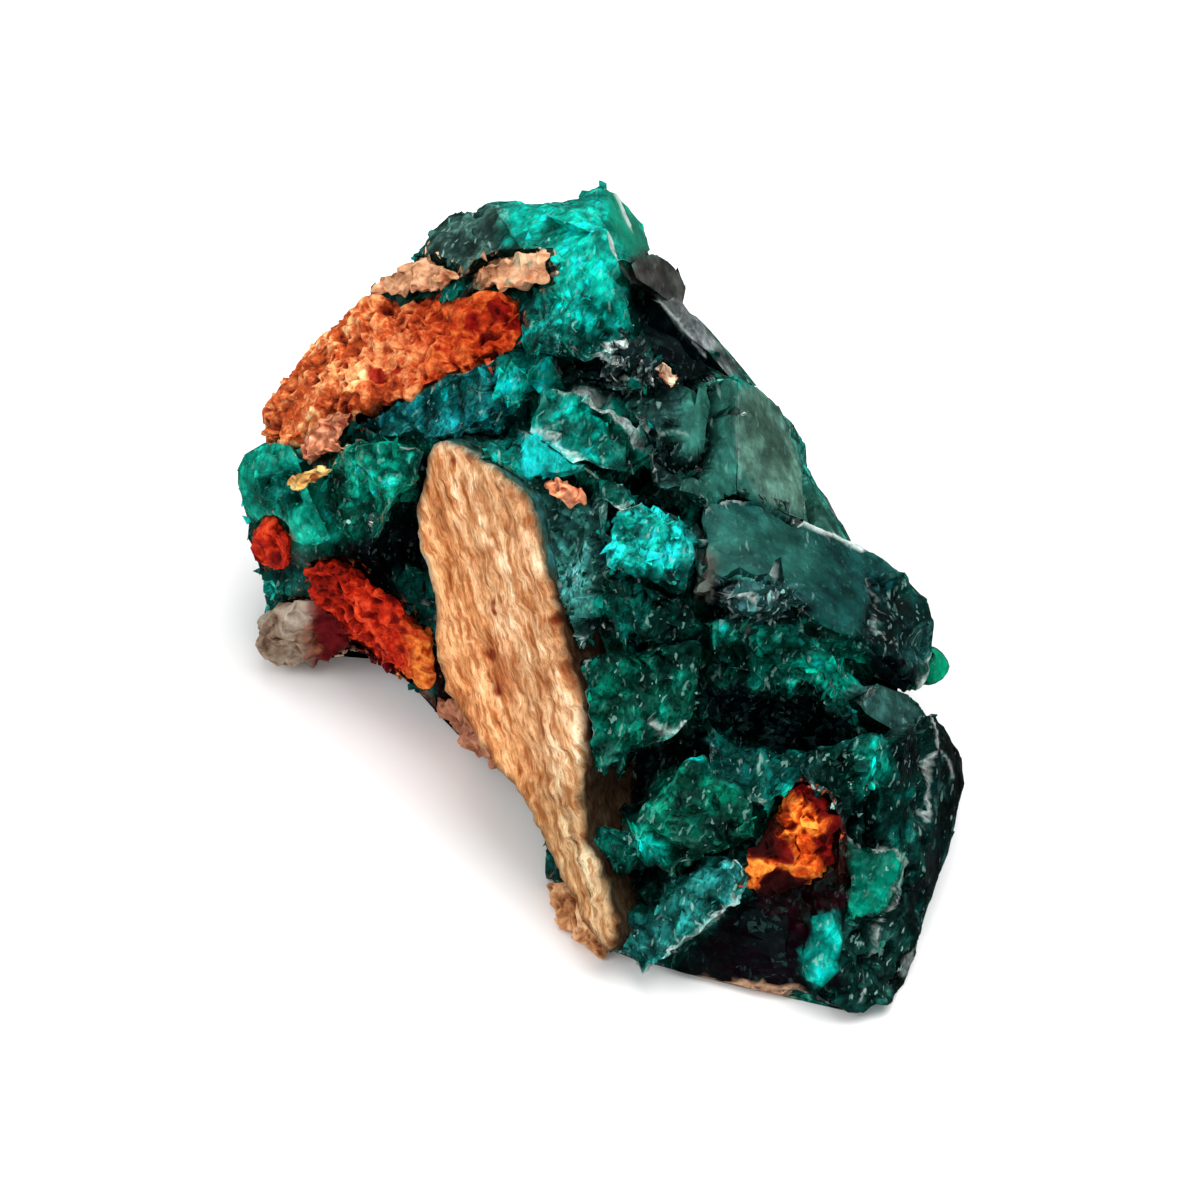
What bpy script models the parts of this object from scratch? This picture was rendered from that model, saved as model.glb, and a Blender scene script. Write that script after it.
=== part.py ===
"""Dioptase specimen: a hand-sized fragment of intergrown dioptase crystals on
remains of its host rock. The crystals grew into each other, so they are one
solid; the host-rock relics caught between them are solids of their own, each
seated in a pocket of the crystal mass.

The visible face leans back LEAN degrees. It is laid out on a drawing grid of
GRID metres a unit: u runs to the right, w runs down, and n is the height in
millimetres towards the viewer. Sight lines meet SIGHT mm in front of the grid.
"""

import math
import random

import bmesh
import bpy
from mathutils import Euler, Matrix, Vector

# ---------------------------------------------------------------- dimensions
GRID = 0.00005  # one drawing unit: 0.05 mm
MID = 600.0  # the drawing's centre, in units
SIGHT = 300.0  # mm
LEAN = math.radians(48.0)
LIFT = 0.0092  # the drawing's centre above the resting face
GAP = 0.0003  # room around each relic in its pocket
SEED = 41

RIGHT = Vector((1.0, 0.0, 0.0))
UP = Vector((0.0, math.sin(LEAN), math.cos(LEAN)))
OUT = Vector((0.0, -math.cos(LEAN), math.sin(LEAN)))


def face(u, w, n):
    """A point of the drawing in metres."""
    k = 1.0 - n / SIGHT
    x = (u - MID) * GRID * k
    v = (MID - w) * GRID * k
    return Vector((0.0, 0.0, LIFT)) + RIGHT * x + UP * v + OUT * (n * 0.001)


# ------------------------------------------------------------------- helpers
for old in list(bpy.data.objects):
    bpy.data.objects.remove(old, do_unlink=True)

specimen = bpy.data.collections.new("dioptase_specimen")
cutters = bpy.data.collections.new("cutters")
lumps = bpy.data.collections.new("crystal_blocks")
for group in (specimen, cutters, lumps):
    bpy.context.scene.collection.children.link(group)


def material(name, colour, rough, metal=0.0, clear=0.0):
    m = bpy.data.materials.new(name)
    m.use_nodes = True
    b = m.node_tree.nodes["Principled BSDF"]
    b.inputs["Base Color"].default_value = (*colour, 1.0)
    b.inputs["Roughness"].default_value = rough
    b.inputs["Metallic"].default_value = metal
    b.inputs["Transmission Weight"].default_value = clear
    b.inputs["IOR"].default_value = 1.66 if clear else 1.5
    m.diffuse_color = (*colour, 1.0)
    return m


def from_bmesh(name, bm, group):
    mesh = bpy.data.meshes.new(name)
    bm.to_mesh(mesh)
    bm.free()
    obj = bpy.data.objects.new(name, mesh)
    group.objects.link(obj)
    return obj


def helper(obj):
    obj.hide_render = True
    obj.display_type = "WIRE"
    return obj


def hull(name, points, group, grow=0.0):
    """The convex block that these corners span, grown by grow on every side."""
    bm = bmesh.new()
    for p in points:
        if grow:
            for sx in (-grow, grow):
                for sy in (-grow, grow):
                    for sz in (-grow, grow):
                        bm.verts.new(p + Vector((sx, sy, sz)))
        else:
            bm.verts.new(p)
    made = bmesh.ops.convex_hull(bm, input=bm.verts)
    loose = {e for e in made["geom_interior"] + made["geom_unused"]}
    bmesh.ops.delete(
        bm,
        geom=[v for v in loose if isinstance(v, bmesh.types.BMVert)],
        context="VERTS",
    )
    bmesh.ops.dissolve_limit(bm, angle_limit=0.004, verts=bm.verts, edges=bm.edges)
    bmesh.ops.recalc_face_normals(bm, faces=bm.faces)
    return from_bmesh(name, bm, group)


def block_points(rim, back, draw=0.92):
    """Corners of a fragment: its rim on the face, and the rim pushed back by back mm and drawn in by draw."""
    cu = sum(p[0] for p in rim) / len(rim)
    cw = sum(p[1] for p in rim) / len(rim)
    pts = [face(*p) for p in rim]
    for u, w, n in rim:
        pts.append(face(cu + (u - cu) * draw, cw + (w - cw) * draw, n - back))
    return pts


def footing(points, draw=0.9, depth=0.0002):
    """The same corners dropped to the resting face, drawn in towards their middle."""
    mx = sum(p.x for p in points) / len(points)
    my = sum(p.y for p in points) / len(points)
    return [
        Vector((mx + (p.x - mx) * draw, my + (p.y - my) * draw, -depth))
        for p in points
    ]


def crystal(name, foot, tip, radius, turn, group, grow=0.0):
    """A dioptase crystal: a six-sided prism from foot to tip, closed by three rhombohedron faces on alternate edges."""
    axis = tip - foot
    length = axis.length + grow
    r = radius + grow
    slope = 0.62
    corners = [Vector((0.0, 0.0, length))]
    for k in range(6):
        a = math.radians(60 * k)
        rim = Vector((r * math.cos(a), r * math.sin(a), 0.0))
        corners.append(rim - Vector((0, 0, grow)))
        drop = slope * r * (0.5 if k % 2 else 1.0)
        corners.append(rim + Vector((0, 0, length - 2.0 * drop)))
    spin = Matrix.Rotation(math.radians(turn), 4, "Z")
    aim = axis.to_track_quat("Z", "Y").to_matrix().to_4x4()
    place = Matrix.Translation(foot) @ aim @ spin
    return hull(name, [place @ c for c in corners], group)


def result_of(obj):
    bpy.context.view_layer.update()
    graph = bpy.context.evaluated_depsgraph_get()
    return bpy.data.meshes.new_from_object(obj.evaluated_get(graph))


def tidy(mesh):
    """Merges doubled corners and says whether the surface is closed."""
    bm = bmesh.new()
    bm.from_mesh(mesh)
    bmesh.ops.remove_doubles(bm, verts=bm.verts, dist=1e-6)
    bmesh.ops.dissolve_degenerate(bm, edges=bm.edges, dist=1e-6)
    bmesh.ops.delete(bm, geom=[e for e in bm.edges if not e.link_faces], context="EDGES")
    bmesh.ops.delete(bm, geom=[v for v in bm.verts if not v.link_faces], context="VERTS")
    whole = bool(bm.faces) and all(len(e.link_faces) == 2 for e in bm.edges)
    whole = whole and all(v.link_faces for v in bm.verts) and bm.calc_volume() > 0
    bm.to_mesh(mesh)
    bm.free()
    return whole


def combine(obj, other, operation):
    """Joins other, an object or a whole collection, to obj, or cuts it away."""
    m = obj.modifiers.new(operation.lower(), "BOOLEAN")
    m.operation = operation
    m.solver = "EXACT"
    if isinstance(other, bpy.types.Collection):
        m.operand_type = "COLLECTION"
        m.collection = other
    else:
        m.object = other
    mesh = result_of(obj)
    obj.modifiers.clear()
    if not tidy(mesh):
        raise RuntimeError(f"{operation} of {other.name} leaves {obj.name} open")
    obj.data = mesh


def keep_main(obj):
    """Fills closed gaps inside the crystals and drops crumbs, leaving the one outer surface."""
    bm = bmesh.new()
    bm.from_mesh(obj.data)
    left = set(bm.faces)
    shells = []
    while left:
        stack = [left.pop()]
        shell = list(stack)
        while stack:
            for e in stack.pop().edges:
                for f in e.link_faces:
                    if f in left:
                        left.remove(f)
                        stack.append(f)
                        shell.append(f)
        shells.append(shell)
    shells.sort(key=lambda fs: sum(f.calc_area() for f in fs))
    doomed = [f for fs in shells[:-1] for f in fs]
    bmesh.ops.delete(bm, geom=doomed, context="FACES")
    bm.to_mesh(obj.data)
    bm.free()


# -------------------------------------------------- the crystal mass: its bulk
# Big fragments that carry the rest. Each is given by its rim on the face.
UPPER = [
    (268, 415, -5), (300, 384, -5), (330, 348, -4.5), (362, 308, -4.5), (412, 262, -4),
    (432, 236, -4), (482, 211, -4), (545, 201, -3), (598, 193, -3), (640, 240, -4),
    (676, 300, -4), (700, 380, 1.5), (640, 420, 4.5), (560, 400, 5), (500, 370, 4),
    (430, 400, 2.5), (350, 430, 0.5), (290, 440, -2),
]
LEFT = [
    (243, 466, -4), (262, 444, -4), (330, 425, 0), (430, 430, 3), (470, 470, 2.5),
    (440, 560, 0), (360, 560, -1.5), (300, 560, -3.5), (262, 530, -5), (246, 505, -4.5),
]
CENTRE = [
    (430, 430, 1.5), (560, 380, 4.5), (650, 340, 4), (700, 376, 2), (757, 388, -1),
    (790, 425, -2.5), (802, 460, -2.5), (840, 540, -1), (862, 590, 0), (884, 640, 0.5),
    (884, 690, 1.5), (850, 720, 4.5), (700, 700, 6), (600, 700, 5), (520, 690, 2),
    (455, 690, -2), (425, 640, -3), (400, 560, -2.5),
]
LOWER = [
    (520, 690, 1.5), (700, 660, 6), (850, 690, 4.5), (935, 712, 1.5), (957, 770, 1),
    (950, 838, 1.5), (925, 915, 3), (902, 985, 5), (880, 1004, 6), (850, 1010, 6.6),
    (805, 990, 6), (740, 985, 5.2), (680, 972, 4.6), (620, 955, 3.8), (575, 935, 2.8),
    (552, 885, 1), (545, 850, 0), (530, 800, -1),
]
LEFT_LOW = [
    (265, 560, -6), (330, 540, -3), (440, 560, -1), (470, 640, -1.5), (484, 748, -5.2),
    (428, 694, -7.9), (392, 668, -9.2), (354, 646, -9.9), (330, 640, -9.9), (290, 625, -9.6),
    (268, 610, -9.2),
]

blocks = []
for k, (name, rim) in enumerate((
    ("bulk_upper", UPPER), ("bulk_left", LEFT), ("bulk_centre", CENTRE),
    ("bulk_lower", LOWER), ("bulk_left_low", LEFT_LOW),
)):
    pts = [face(*p) for p in rim]
    blocks.append(hull(name, pts + footing(pts, 0.86, 0.0002 + 0.00013 * k), lumps))

# The foot of the specimen: fragments that carry it on its resting cleavage.
FEET = [
    [(-15.2, 7.6), (-12.8, 6.8), (-6, 6.0), (2, 8), (0, 14), (-8, 15), (-14, 12)],
    [(-11.6, 5.2), (-7, 0.8), (4, -2), (10, 4), (4, 12), (-6, 12)],
    [(-6.6, 0.0), (-2.4, -7.2), (8, -8), (13, -2), (8, 6), (-3, 4)],
    [(-2.0, -8.4), (0.0, -14.2), (12.4, -18.2), (14.2, -16.6), (15.2, -9), (12.8, -2), (0, -2)],
]
for k, outline in enumerate(FEET):
    pts = [Vector((x, y, -1.0 - 0.2 * k)) * 0.001 for x, y in outline]
    mx = sum(p.x for p in pts) / len(pts)
    my = sum(p.y for p in pts) / len(pts)
    pts += [Vector((mx + (p.x - mx) * 0.9, my + (p.y - my) * 0.9, 0.0034)) for p in pts]
    blocks.append(hull(f"foot_{k}", pts, lumps))

# Back and flank fragments, on the sides turned away from the face.
BACK = [
    [(-0.013, 0.012, 0.0), (-0.016, 0.006, 0.002), (-0.012, 0.0165, 0.004), (-0.006, 0.0182, 0.003),
     (-0.008, 0.0175, 0.012), (-0.013, 0.0125, 0.011), (-0.004, 0.012, 0.014), (-0.003, 0.016, 0.0)],
    [(0.001, 0.0175, 0.002), (0.006, 0.0165, 0.0), (0.007, 0.0135, 0.009), (0.0015, 0.0165, 0.013),
     (-0.004, 0.014, 0.010), (0.010, 0.010, 0.004), (0.0, 0.010, 0.0)],
    [(0.0125, 0.006, 0.0), (0.0145, 0.003, 0.003), (0.0135, 0.001, 0.008), (0.0095, 0.007, 0.009),
     (0.008, 0.0105, 0.005), (0.006, 0.006, 0.0), (0.012, -0.002, 0.0)],
    [(0.0145, -0.004, 0.0), (0.0165, -0.007, 0.0015), (0.016, -0.0095, 0.006), (0.0145, -0.002, 0.007),
     (0.010, -0.001, 0.004), (0.012, -0.010, 0.0)],
    [(-0.0165, 0.004, 0.0), (-0.0175, 0.006, 0.004), (-0.0165, 0.009, 0.007), (-0.012, 0.010, 0.0),
     (-0.013, 0.002, 0.001), (-0.014, 0.008, 0.0085)],
]
for k, corners in enumerate(BACK):
    pts = [Vector(c) - Vector((0, 0, 0.0011 + 0.0001 * k if c[2] == 0.0 else 0.0)) for c in corners]
    blocks.append(hull(f"flank_{k}", pts, lumps))

# ------------------------------------- raised fragments and crystals of the face
RAISED = [
    # crest at the top: a clear crystal with a straight edge down its right side
    ("crest", [(578, 196, 0), (600, 186, -0.5), (612, 192, -0.5), (628, 207, -2), (641, 224, -3),
               (650, 250, -3.2), (642, 260, 0.4), (630, 262, 1.8), (617, 262, 3.2), (604, 240, 4.0),
               (575, 225, 3.6), (545, 215, 2.4)], 5, 0.9),
    ("crest_left", [(500, 212, -1), (545, 203, -1), (585, 200, 0.5), (606, 236, 4.4), (620, 276, 4.6),
                    (598, 300, 5.2), (552, 262, 4.4), (520, 250, 2.6)], 5, 0.9),
    ("top_flank", [(425, 248, -3), (440, 230, -3), (484, 212, -2.6), (530, 214, 0.2), (545, 250, 2.8),
                   (500, 258, 1.8), (462, 276, 0.6), (428, 262, -1.4)], 4, 0.92),
    ("top_ledge", [(368, 300, -3.2), (400, 292, -1.6), (450, 292, 0.8), (470, 300, 1.4), (462, 312, 1.6),
                   (420, 318, 0.4), (378, 312, -2)], 4, 0.95),
    ("blade", [(631, 264, 2.6), (640, 257, 1.6), (652, 254, 0.4), (668, 261, -0.6), (680, 274, -1.2), (686, 288, -1.4),
               (682, 305, -0.8), (672, 303, 0.2), (652, 288, 1.8), (636, 278, 2.8)], 2.4, 0.9),
    # narrow grey faces down the back of the black prism
    ("prism_face_a", [(655, 293, 0.5), (672, 300, 0.1), (686, 312, -0.7), (704, 324, -1.3), (719, 342, -1.8),
                      (706, 350, 0.0), (684, 332, 0.5)], 3, 0.95),
    ("prism_face_b", [(704, 325, -1.4), (728, 353, -2.1), (744, 371, -2.5), (757, 387, -2.4), (740, 389, -0.2),
                      (719, 364, -0.1), (702, 344, -0.1)], 3.2, 0.95),
    ("upper_face", [(552, 262, 4), (600, 262, 5.2), (622, 290, 5.2), (632, 325, 5.6), (610, 350, 6.4),
                    (560, 362, 6.6), (520, 352, 4.8), (520, 315, 3.4), (540, 280, 3.2)], 4, 0.92),
    ("blue_ridge", [(352, 408, 0.4), (400, 398, 2.4), (440, 380, 4), (505, 356, 5.2), (533, 378, 6.2),
                    (524, 406, 6), (500, 430, 5.4), (450, 434, 4.4), (396, 442, 2.6), (360, 432, 1.0)], 4, 0.92),
    ("dome", [(536, 398, 6.2), (560, 388, 6.8), (592, 388, 7), (614, 404, 7.2), (642, 440, 6.6),
              (652, 470, 6.4), (622, 474, 8), (570, 462, 8), (528, 430, 6.8)], 4, 0.9),
    ("bright_facet", [(526, 434, 7), (534, 436, 7.6), (562, 456, 8.4), (578, 470, 8.2), (556, 478, 7.8),
                      (520, 470, 6.4)], 3, 0.95),
    ("shoulder", [(470, 442, 4.6), (520, 440, 6.2), (526, 474, 6.6), (600, 484, 8.4), (640, 496, 8.4),
                  (612, 508, 8.8), (560, 500, 7.8), (512, 482, 5.6), (480, 460, 4.6)], 4, 0.94),
    ("steps", [(628, 402, 5.4), (655, 398, 5.6), (690, 392, 4.6), (700, 420, 5.2), (690, 452, 6),
               (680, 486, 7), (655, 486, 7.4), (640, 456, 6.6)], 4, 0.94),
    ("grey_face_a", [(700, 378, 4.2), (738, 382, 1.8), (738, 440, 3.6), (736, 497, 5.2), (700, 502, 7.2),
                     (680, 490, 7.2), (696, 470, 6.4), (716, 440, 4.8), (714, 400, 4.2)], 5, 0.96),
    ("grey_face_b", [(738, 382, 1.9), (757, 388, 0.2), (770, 399, -0.6), (792, 424, -1.8), (802, 444, -2),
                     (804, 470, -1.4), (804, 520, 1.6), (758, 502, 4.6), (737, 497, 5.2), (738, 440, 3.7)], 5, 0.96),
    ("grey_face_c", [(804, 468, -1.4), (822, 500, -1.2), (850, 546, -0.4), (838, 544, 1.2), (804, 524, 1.8)], 4, 0.96),
    ("ledge", [(512, 476, 4.8), (560, 484, 7), (604, 506, 8.4), (604, 560, 9), (596, 620, 8.4),
               (584, 650, 7.4), (566, 620, 6), (548, 560, 5.2), (532, 510, 4.8)], 4.5, 0.95),
    ("turquoise", [(616, 506, 8.8), (640, 498, 9), (662, 506, 9), (682, 522, 9.4), (702, 541, 9),
                   (692, 566, 10), (682, 592, 10.2), (642, 577, 10.4), (612, 572, 9.8), (600, 545, 9.2)], 4, 0.92),
    ("under_turquoise", [(596, 580, 8.8), (640, 582, 9.6), (686, 600, 9.6), (700, 622, 9.2), (680, 640, 8.6),
                         (636, 626, 8.2), (600, 640, 7.8)], 4, 0.92),
    # the great crystal on the right: one long clear face, its end worn round
    ("great_crystal", [(703, 506, 8), (720, 499, 7.4), (757, 501, 6), (802, 526, 4.2), (852, 546, 2.4),
                       (882, 559, 1.4), (906, 575, 0.6), (928, 600, 0.4), (935, 622, 0.4), (932, 650, 1),
                       (924, 688, 2), (914, 694, 2.8), (886, 664, 5.2), (866, 646, 6.8), (806, 618, 9.2),
                       (790, 596, 9.8), (716, 592, 10.6), (690, 592, 10.4)], 5, 0.94),
    ("mid_left", [(584, 660, 7.2), (620, 642, 7.6), (668, 640, 8.4), (700, 650, 8.6), (696, 700, 8),
                  (690, 726, 7.6), (640, 738, 7.2), (604, 772, 6.6), (584, 772, 6), (574, 700, 6)], 4, 0.93),
    ("mid_right", [(706, 620, 8.8), (730, 632, 8.8), (790, 626, 8.4), (850, 654, 7), (868, 690, 6.4),
                   (830, 712, 6.4), (782, 700, 6.8), (746, 686, 7.2), (716, 676, 7.6)], 4, 0.9),
    ("grey_wedge", [(842, 690, 6.2), (878, 684, 5), (916, 700, 3.2), (930, 722, 3), (902, 734, 5.6),
                    (868, 716, 6.6)], 4, 0.95),
    ("right_block", [(800, 764, 8), (850, 746, 8.2), (904, 734, 7.2), (928, 712, 3.6), (944, 726, 2.6),
                     (962, 757, 1.6), (966, 782, 1.6), (954, 830, 2), (938, 880, 3), (920, 935, 4.6),
                     (904, 986, 5.8), (888, 1003, 6.4), (850, 1012, 7), (826, 1000, 7.2), (845, 900, 9),
                     (842, 830, 9), (812, 790, 8.6)], 6, 0.93),
    ("right_facet", [(852, 850, 9.6), (884, 848, 9.6), (900, 858, 9.2), (896, 890, 9), (868, 940, 8.6),
                     (850, 930, 8.8), (844, 880, 9.2)], 3, 0.94),
    ("low_middle", [(664, 772, 8), (706, 764, 8.4), (746, 790, 8.6), (748, 832, 8.6), (704, 852, 8.8),
                    (672, 876, 8.2), (650, 862, 7.6), (640, 822, 7.4)], 4, 0.9),
    ("low_mid_right", [(700, 730, 6.6), (748, 744, 6.8), (800, 762, 7.6), (808, 790, 8), (760, 800, 8.2),
                       (716, 790, 7.8)], 4, 0.92),
    ("low_teal", [(578, 822, 5), (600, 826, 5.8), (640, 838, 6.6), (664, 850, 7.2), (640, 866, 6.8),
                  (608, 872, 5.8), (590, 850, 5)], 3, 0.94),
    ("low_plate", [(612, 950, 5.4), (640, 965, 6), (668, 956, 7), (702, 932, 8), (744, 898, 8.8),
                   (748, 872, 8.8), (728, 852, 8.2), (684, 880, 7.4), (640, 898, 6.6), (616, 926, 5.6)], 4, 0.95),
    ("chip", [(812, 916, 8.4), (832, 912, 8.6), (842, 940, 8.8), (840, 970, 8.4), (822, 986, 7.8),
              (806, 980, 7.6), (802, 952, 8), (812, 935, 8.4)], 3, 0.96),
    ("left_teal", [(338, 448, 1.2), (372, 446, 3), (424, 450, 4.4), (416, 482, 4.2), (402, 502, 3.6),
                   (382, 520, 2.6), (366, 556, 1.2), (350, 550, 0.4), (330, 508, -0.2), (324, 474, 0)], 4, 0.92),
    ("left_knob", [(238, 470, -3.2), (246, 455, -3), (264, 443, -2.4), (290, 446, -0.8), (302, 480, 0),
                   (332, 540, -0.6), (304, 546, -1.6), (266, 527, -3.2), (246, 507, -3.6), (238, 486, -3.6)], 4, 0.9),
    ("foot_left", [(545, 858, 0.4), (556, 848, 1.4), (582, 870, 3), (586, 888, 3.2), (560, 892, 2.2),
                   (547, 880, 1)], 3, 0.95),
]
for name, rim, back, draw in RAISED:
    blocks.append(hull(name, block_points(rim, back, draw), lumps))

# Single crystals: foot, tip, radius in mm, turn about the axis in degrees
CRYSTALS = [
    ("black_prism", (758, 452, -3.6), (640, 290, 0.4), 1.38, 4),
    ("green_tip", (880, 652, -2.4), (957, 668, -1.0), 1.5, 20),
    ("cavity_a", (385, 560, -3.0), (420, 588, 0.4), 0.75, 10),
    ("cavity_b", (395, 620, -4.0), (424, 622, -0.6), 0.7, 35),
    ("recess_a", (622, 402, 3.6), (604, 350, 6.4), 0.8, 15),
    ("recess_b", (650, 400, 3.6), (632, 362, 6.2), 0.7, 40),
    ("centre_a", (700, 745, 4.0), (712, 700, 7.8), 0.7, 0),
    ("centre_b", (850, 742, 4.4), (826, 676, 8.0), 0.9, 25),
    ("centre_c", (760, 720, 4.0), (738, 662, 8.8), 0.9, 50),
    ("low_a", (640, 800, 4.4), (622, 760, 7.2), 0.7, 12),
    ("low_b", (620, 880, 4.2), (646, 846, 8.2), 0.8, 33),
    ("back_a", (640, 300, -8.0), (560, 215, -9.0), 2.0, 10),
    ("back_b", (740, 500, -9.0), (768, 432, -8.0), 1.7, 35),
    ("back_c", (480, 330, -10.0), (400, 300, -12.0), 1.8, 22),
]
for name, foot, tip, radius, turn in CRYSTALS:
    blocks.append(
        crystal(name, face(*foot), face(*tip), radius * 0.001, turn, lumps)
    )

# Small crystals crusting the far sides, set out with a fixed seed
OUTLINE = [
    (600, 186), (646, 240), (684, 290), (686, 316), (752, 382), (800, 440), (806, 468), (850, 545), (930, 602),
    (950, 660), (930, 705), (963, 775), (900, 998), (850, 1014), (570, 940), (545, 860), (530, 795), (430, 710),
    (350, 648), (265, 658), (262, 590), (240, 490), (268, 420), (305, 370), (350, 315), (430, 240), (500, 206),
]


def drawing(p):
    """The drawing place that a point of the specimen is seen at."""
    d = p - Vector((0.0, 0.0, LIFT))
    k = 1.0 - d.dot(OUT) * 1000.0 / SIGHT
    return MID + d.dot(RIGHT) / GRID / k, MID - d.dot(UP) / GRID / k


def within(u, w):
    odd = False
    for (u1, w1), (u2, w2) in zip(OUTLINE, OUTLINE[1:] + OUTLINE[:1]):
        if (w1 > w) != (w2 > w) and u < u1 + (w - w1) * (u2 - u1) / (w2 - w1):
            odd = not odd
    return odd


rng = random.Random(SEED)
for k in range(34):
    a = math.radians(rng.uniform(42, 176))
    z = rng.uniform(0.0015, 0.0145)
    lean = 1.0 - 0.25 * max(0.0, z - 0.006) / 0.008
    c = Vector((0.0148 * math.cos(a) * lean, 0.0012 + 0.0150 * math.sin(a) * lean, z))
    tilt = Vector((0.6 * math.cos(a), math.sin(a), rng.uniform(-0.2, 0.7))).normalized()
    reach = rng.uniform(0.0028, 0.0046)
    crust = crystal(f"crust_{k}", c - tilt * 0.003, c + tilt * (reach - 0.003), rng.uniform(0.0009, 0.0019),
                    rng.uniform(0, 60), lumps)
    # the crust stays behind the outline that the specimen shows from the front
    inside = all(within(*drawing(c + tilt * (reach - 0.003) + side))
                 for side in (RIGHT * 0.0014, -RIGHT * 0.0014, UP * 0.0014))
    if inside:
        blocks.append(crust)
    else:
        bpy.data.objects.remove(crust)
for b in blocks:
    helper(b)

# ------------------------------------------------------ relics of the host rock
buff = material("buff_rock", (0.62, 0.36, 0.17), 0.85)
iron = material("iron_ochre", (0.55, 0.12, 0.03), 0.9)
pale = material("pale_rock", (0.52, 0.43, 0.35), 0.85)
green = material("dioptase", (0.005, 0.16, 0.12), 0.2, clear=0.35)

relics = []
pockets = []


def relic(name, rim, back, draw, mat, extra=()):
    pts = block_points(rim, back, draw) + [face(*p) for p in extra]
    obj = hull(name, pts, specimen)
    obj.data.materials.append(mat)
    relics.append(obj)
    pockets.append(helper(hull(name + "_pocket", pts, cutters, GAP)))
    return obj


def slab(name, outline, corner, thick, mat):
    """A flat broken plate: its outline on the plane through three corners of the drawing."""
    a, b, c = (face(*p) for p in corner)
    normal = (b - a).cross(c - a).normalized()
    if normal.dot(OUT) < 0:
        normal = -normal
    along = (b - a).normalized()
    side = normal.cross(along)
    frame = Matrix((along, side, normal)).transposed().to_4x4()
    frame.translation = a
    inverse = frame.inverted()
    eye = face(MID, MID, SIGHT)

    def on_plane(u, w):
        p = face(u, w, 0.0)
        d = p - eye
        hit = eye + d * ((a - eye).dot(normal) / d.dot(normal))
        return inverse @ hit

    made = []
    for suffix, bevel, group in (("", 0.00012, specimen), ("_pocket", 0.00012 + GAP, cutters)):
        curve = bpy.data.curves.new(name + suffix, "CURVE")
        curve.dimensions = "2D"
        curve.fill_mode = "BOTH"
        curve.extrude = thick / 2
        curve.bevel_depth = bevel
        curve.bevel_resolution = 0
        spline = curve.splines.new("POLY")
        spline.points.add(len(outline) - 1)
        for k, (u, w) in enumerate(outline):
            p = on_plane(u, w)
            spline.points[k].co = (p.x, p.y, 0, 1)
        spline.use_cyclic_u = True
        obj = bpy.data.objects.new(name + suffix, curve)
        group.objects.link(obj)
        obj.matrix_world = frame @ Matrix.Translation((0, 0, -thick / 2))
        bpy.context.view_layer.update()
        graph = bpy.context.evaluated_depsgraph_get()
        mesh = bpy.data.meshes.new_from_object(obj.evaluated_get(graph))
        mesh.transform(obj.matrix_world)
        bm = bmesh.new()
        bm.from_mesh(mesh)
        bmesh.ops.remove_doubles(bm, verts=bm.verts, dist=1e-6)
        bmesh.ops.recalc_face_normals(bm, faces=bm.faces)
        bpy.data.objects.remove(obj)
        made.append(from_bmesh(name + suffix, bm, group))
    made[0].data.materials.append(mat)
    relics.append(made[0])
    pockets.append(helper(made[1]))
    return made[0]


slab(
    "buff_slab",
    [(438, 448), (431, 478), (424, 505), (426, 540), (436, 575), (444, 605), (443, 650),
     (450, 690), (474, 722), (502, 762), (528, 790), (548, 832), (570, 880), (592, 922),
     (608, 944), (613, 932), (604, 900), (596, 872), (582, 846), (577, 800), (580, 760),
     (574, 690), (561, 640), (547, 590), (539, 552), (531, 515), (516, 490), (500, 476),
     (482, 466), (464, 455), (448, 446)],
    [(450, 455, 4.4), (600, 930, 6.0), (578, 700, 7.0)],
    0.0042,
    buff,
)
relic("upper_ochre_seam",
      [(264, 418, -4.4), (283, 398, -3.8), (300, 384, -3.4), (303, 362, -3.4), (328, 338, -3.2), (346, 336, -2.4),
       (350, 314, -2.8), (366, 304, -2.4), (400, 318, -0.6), (440, 320, 1.2), (470, 304, 2.2), (498, 298, 3),
       (516, 306, 3.6), (516, 332, 4.2), (492, 352, 4.6), (450, 372, 3.8), (420, 386, 3.2), (390, 398, 2.4),
       (352, 404, 1.2), (310, 434, -0.4), (280, 446, -2.2), (268, 432, -3.8)], 3.4, 0.95, iron)
relic("pink_chip", [(300, 452, 0.2), (306, 432, 0.2), (330, 415, 1), (347, 414, 1.6), (348, 424, 1.8), (336, 436, 1.6),
                    (330, 454, 1.2), (318, 462, 0.8), (304, 460, 0.4)], 1.5, 0.9, pale)
relic("yellow_chip", [(287, 480, 0.4), (300, 474, 0.8), (322, 466, 1.2), (332, 470, 1.4), (314, 484, 1.2), (298, 494, 0.8)],
      1.2, 0.9, buff)
relic("upper_pale_patch_left", [(370, 292, -3.0), (398, 270, -2.6), (426, 260, -1.4), (444, 270, -0.2), (456, 276, 0.6),
                                (436, 288, 0.6), (402, 292, -1.2)], 2.0, 0.94, pale)
relic("upper_pale_patch_right", [(468, 286, 1.2), (478, 268, 1.4), (506, 257, 2.4), (548, 256, 4.2), (549, 276, 4.6),
                                 (520, 286, 3.6), (490, 289, 2.2)], 2.0, 0.94, pale)
relic("ridge_chip", [(544, 481, 8), (560, 480, 8.4), (584, 490, 8.8), (584, 500, 8.9), (566, 502, 8.7), (550, 492, 8.3)],
      1.2, 0.9, pale)
relic("recess_pebble", [(656, 366, 5.2), (662, 361, 5.2), (672, 366, 5), (679, 378, 5), (672, 384, 5.6), (660, 378, 5.6)],
      1.2, 0.85, buff)
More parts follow.
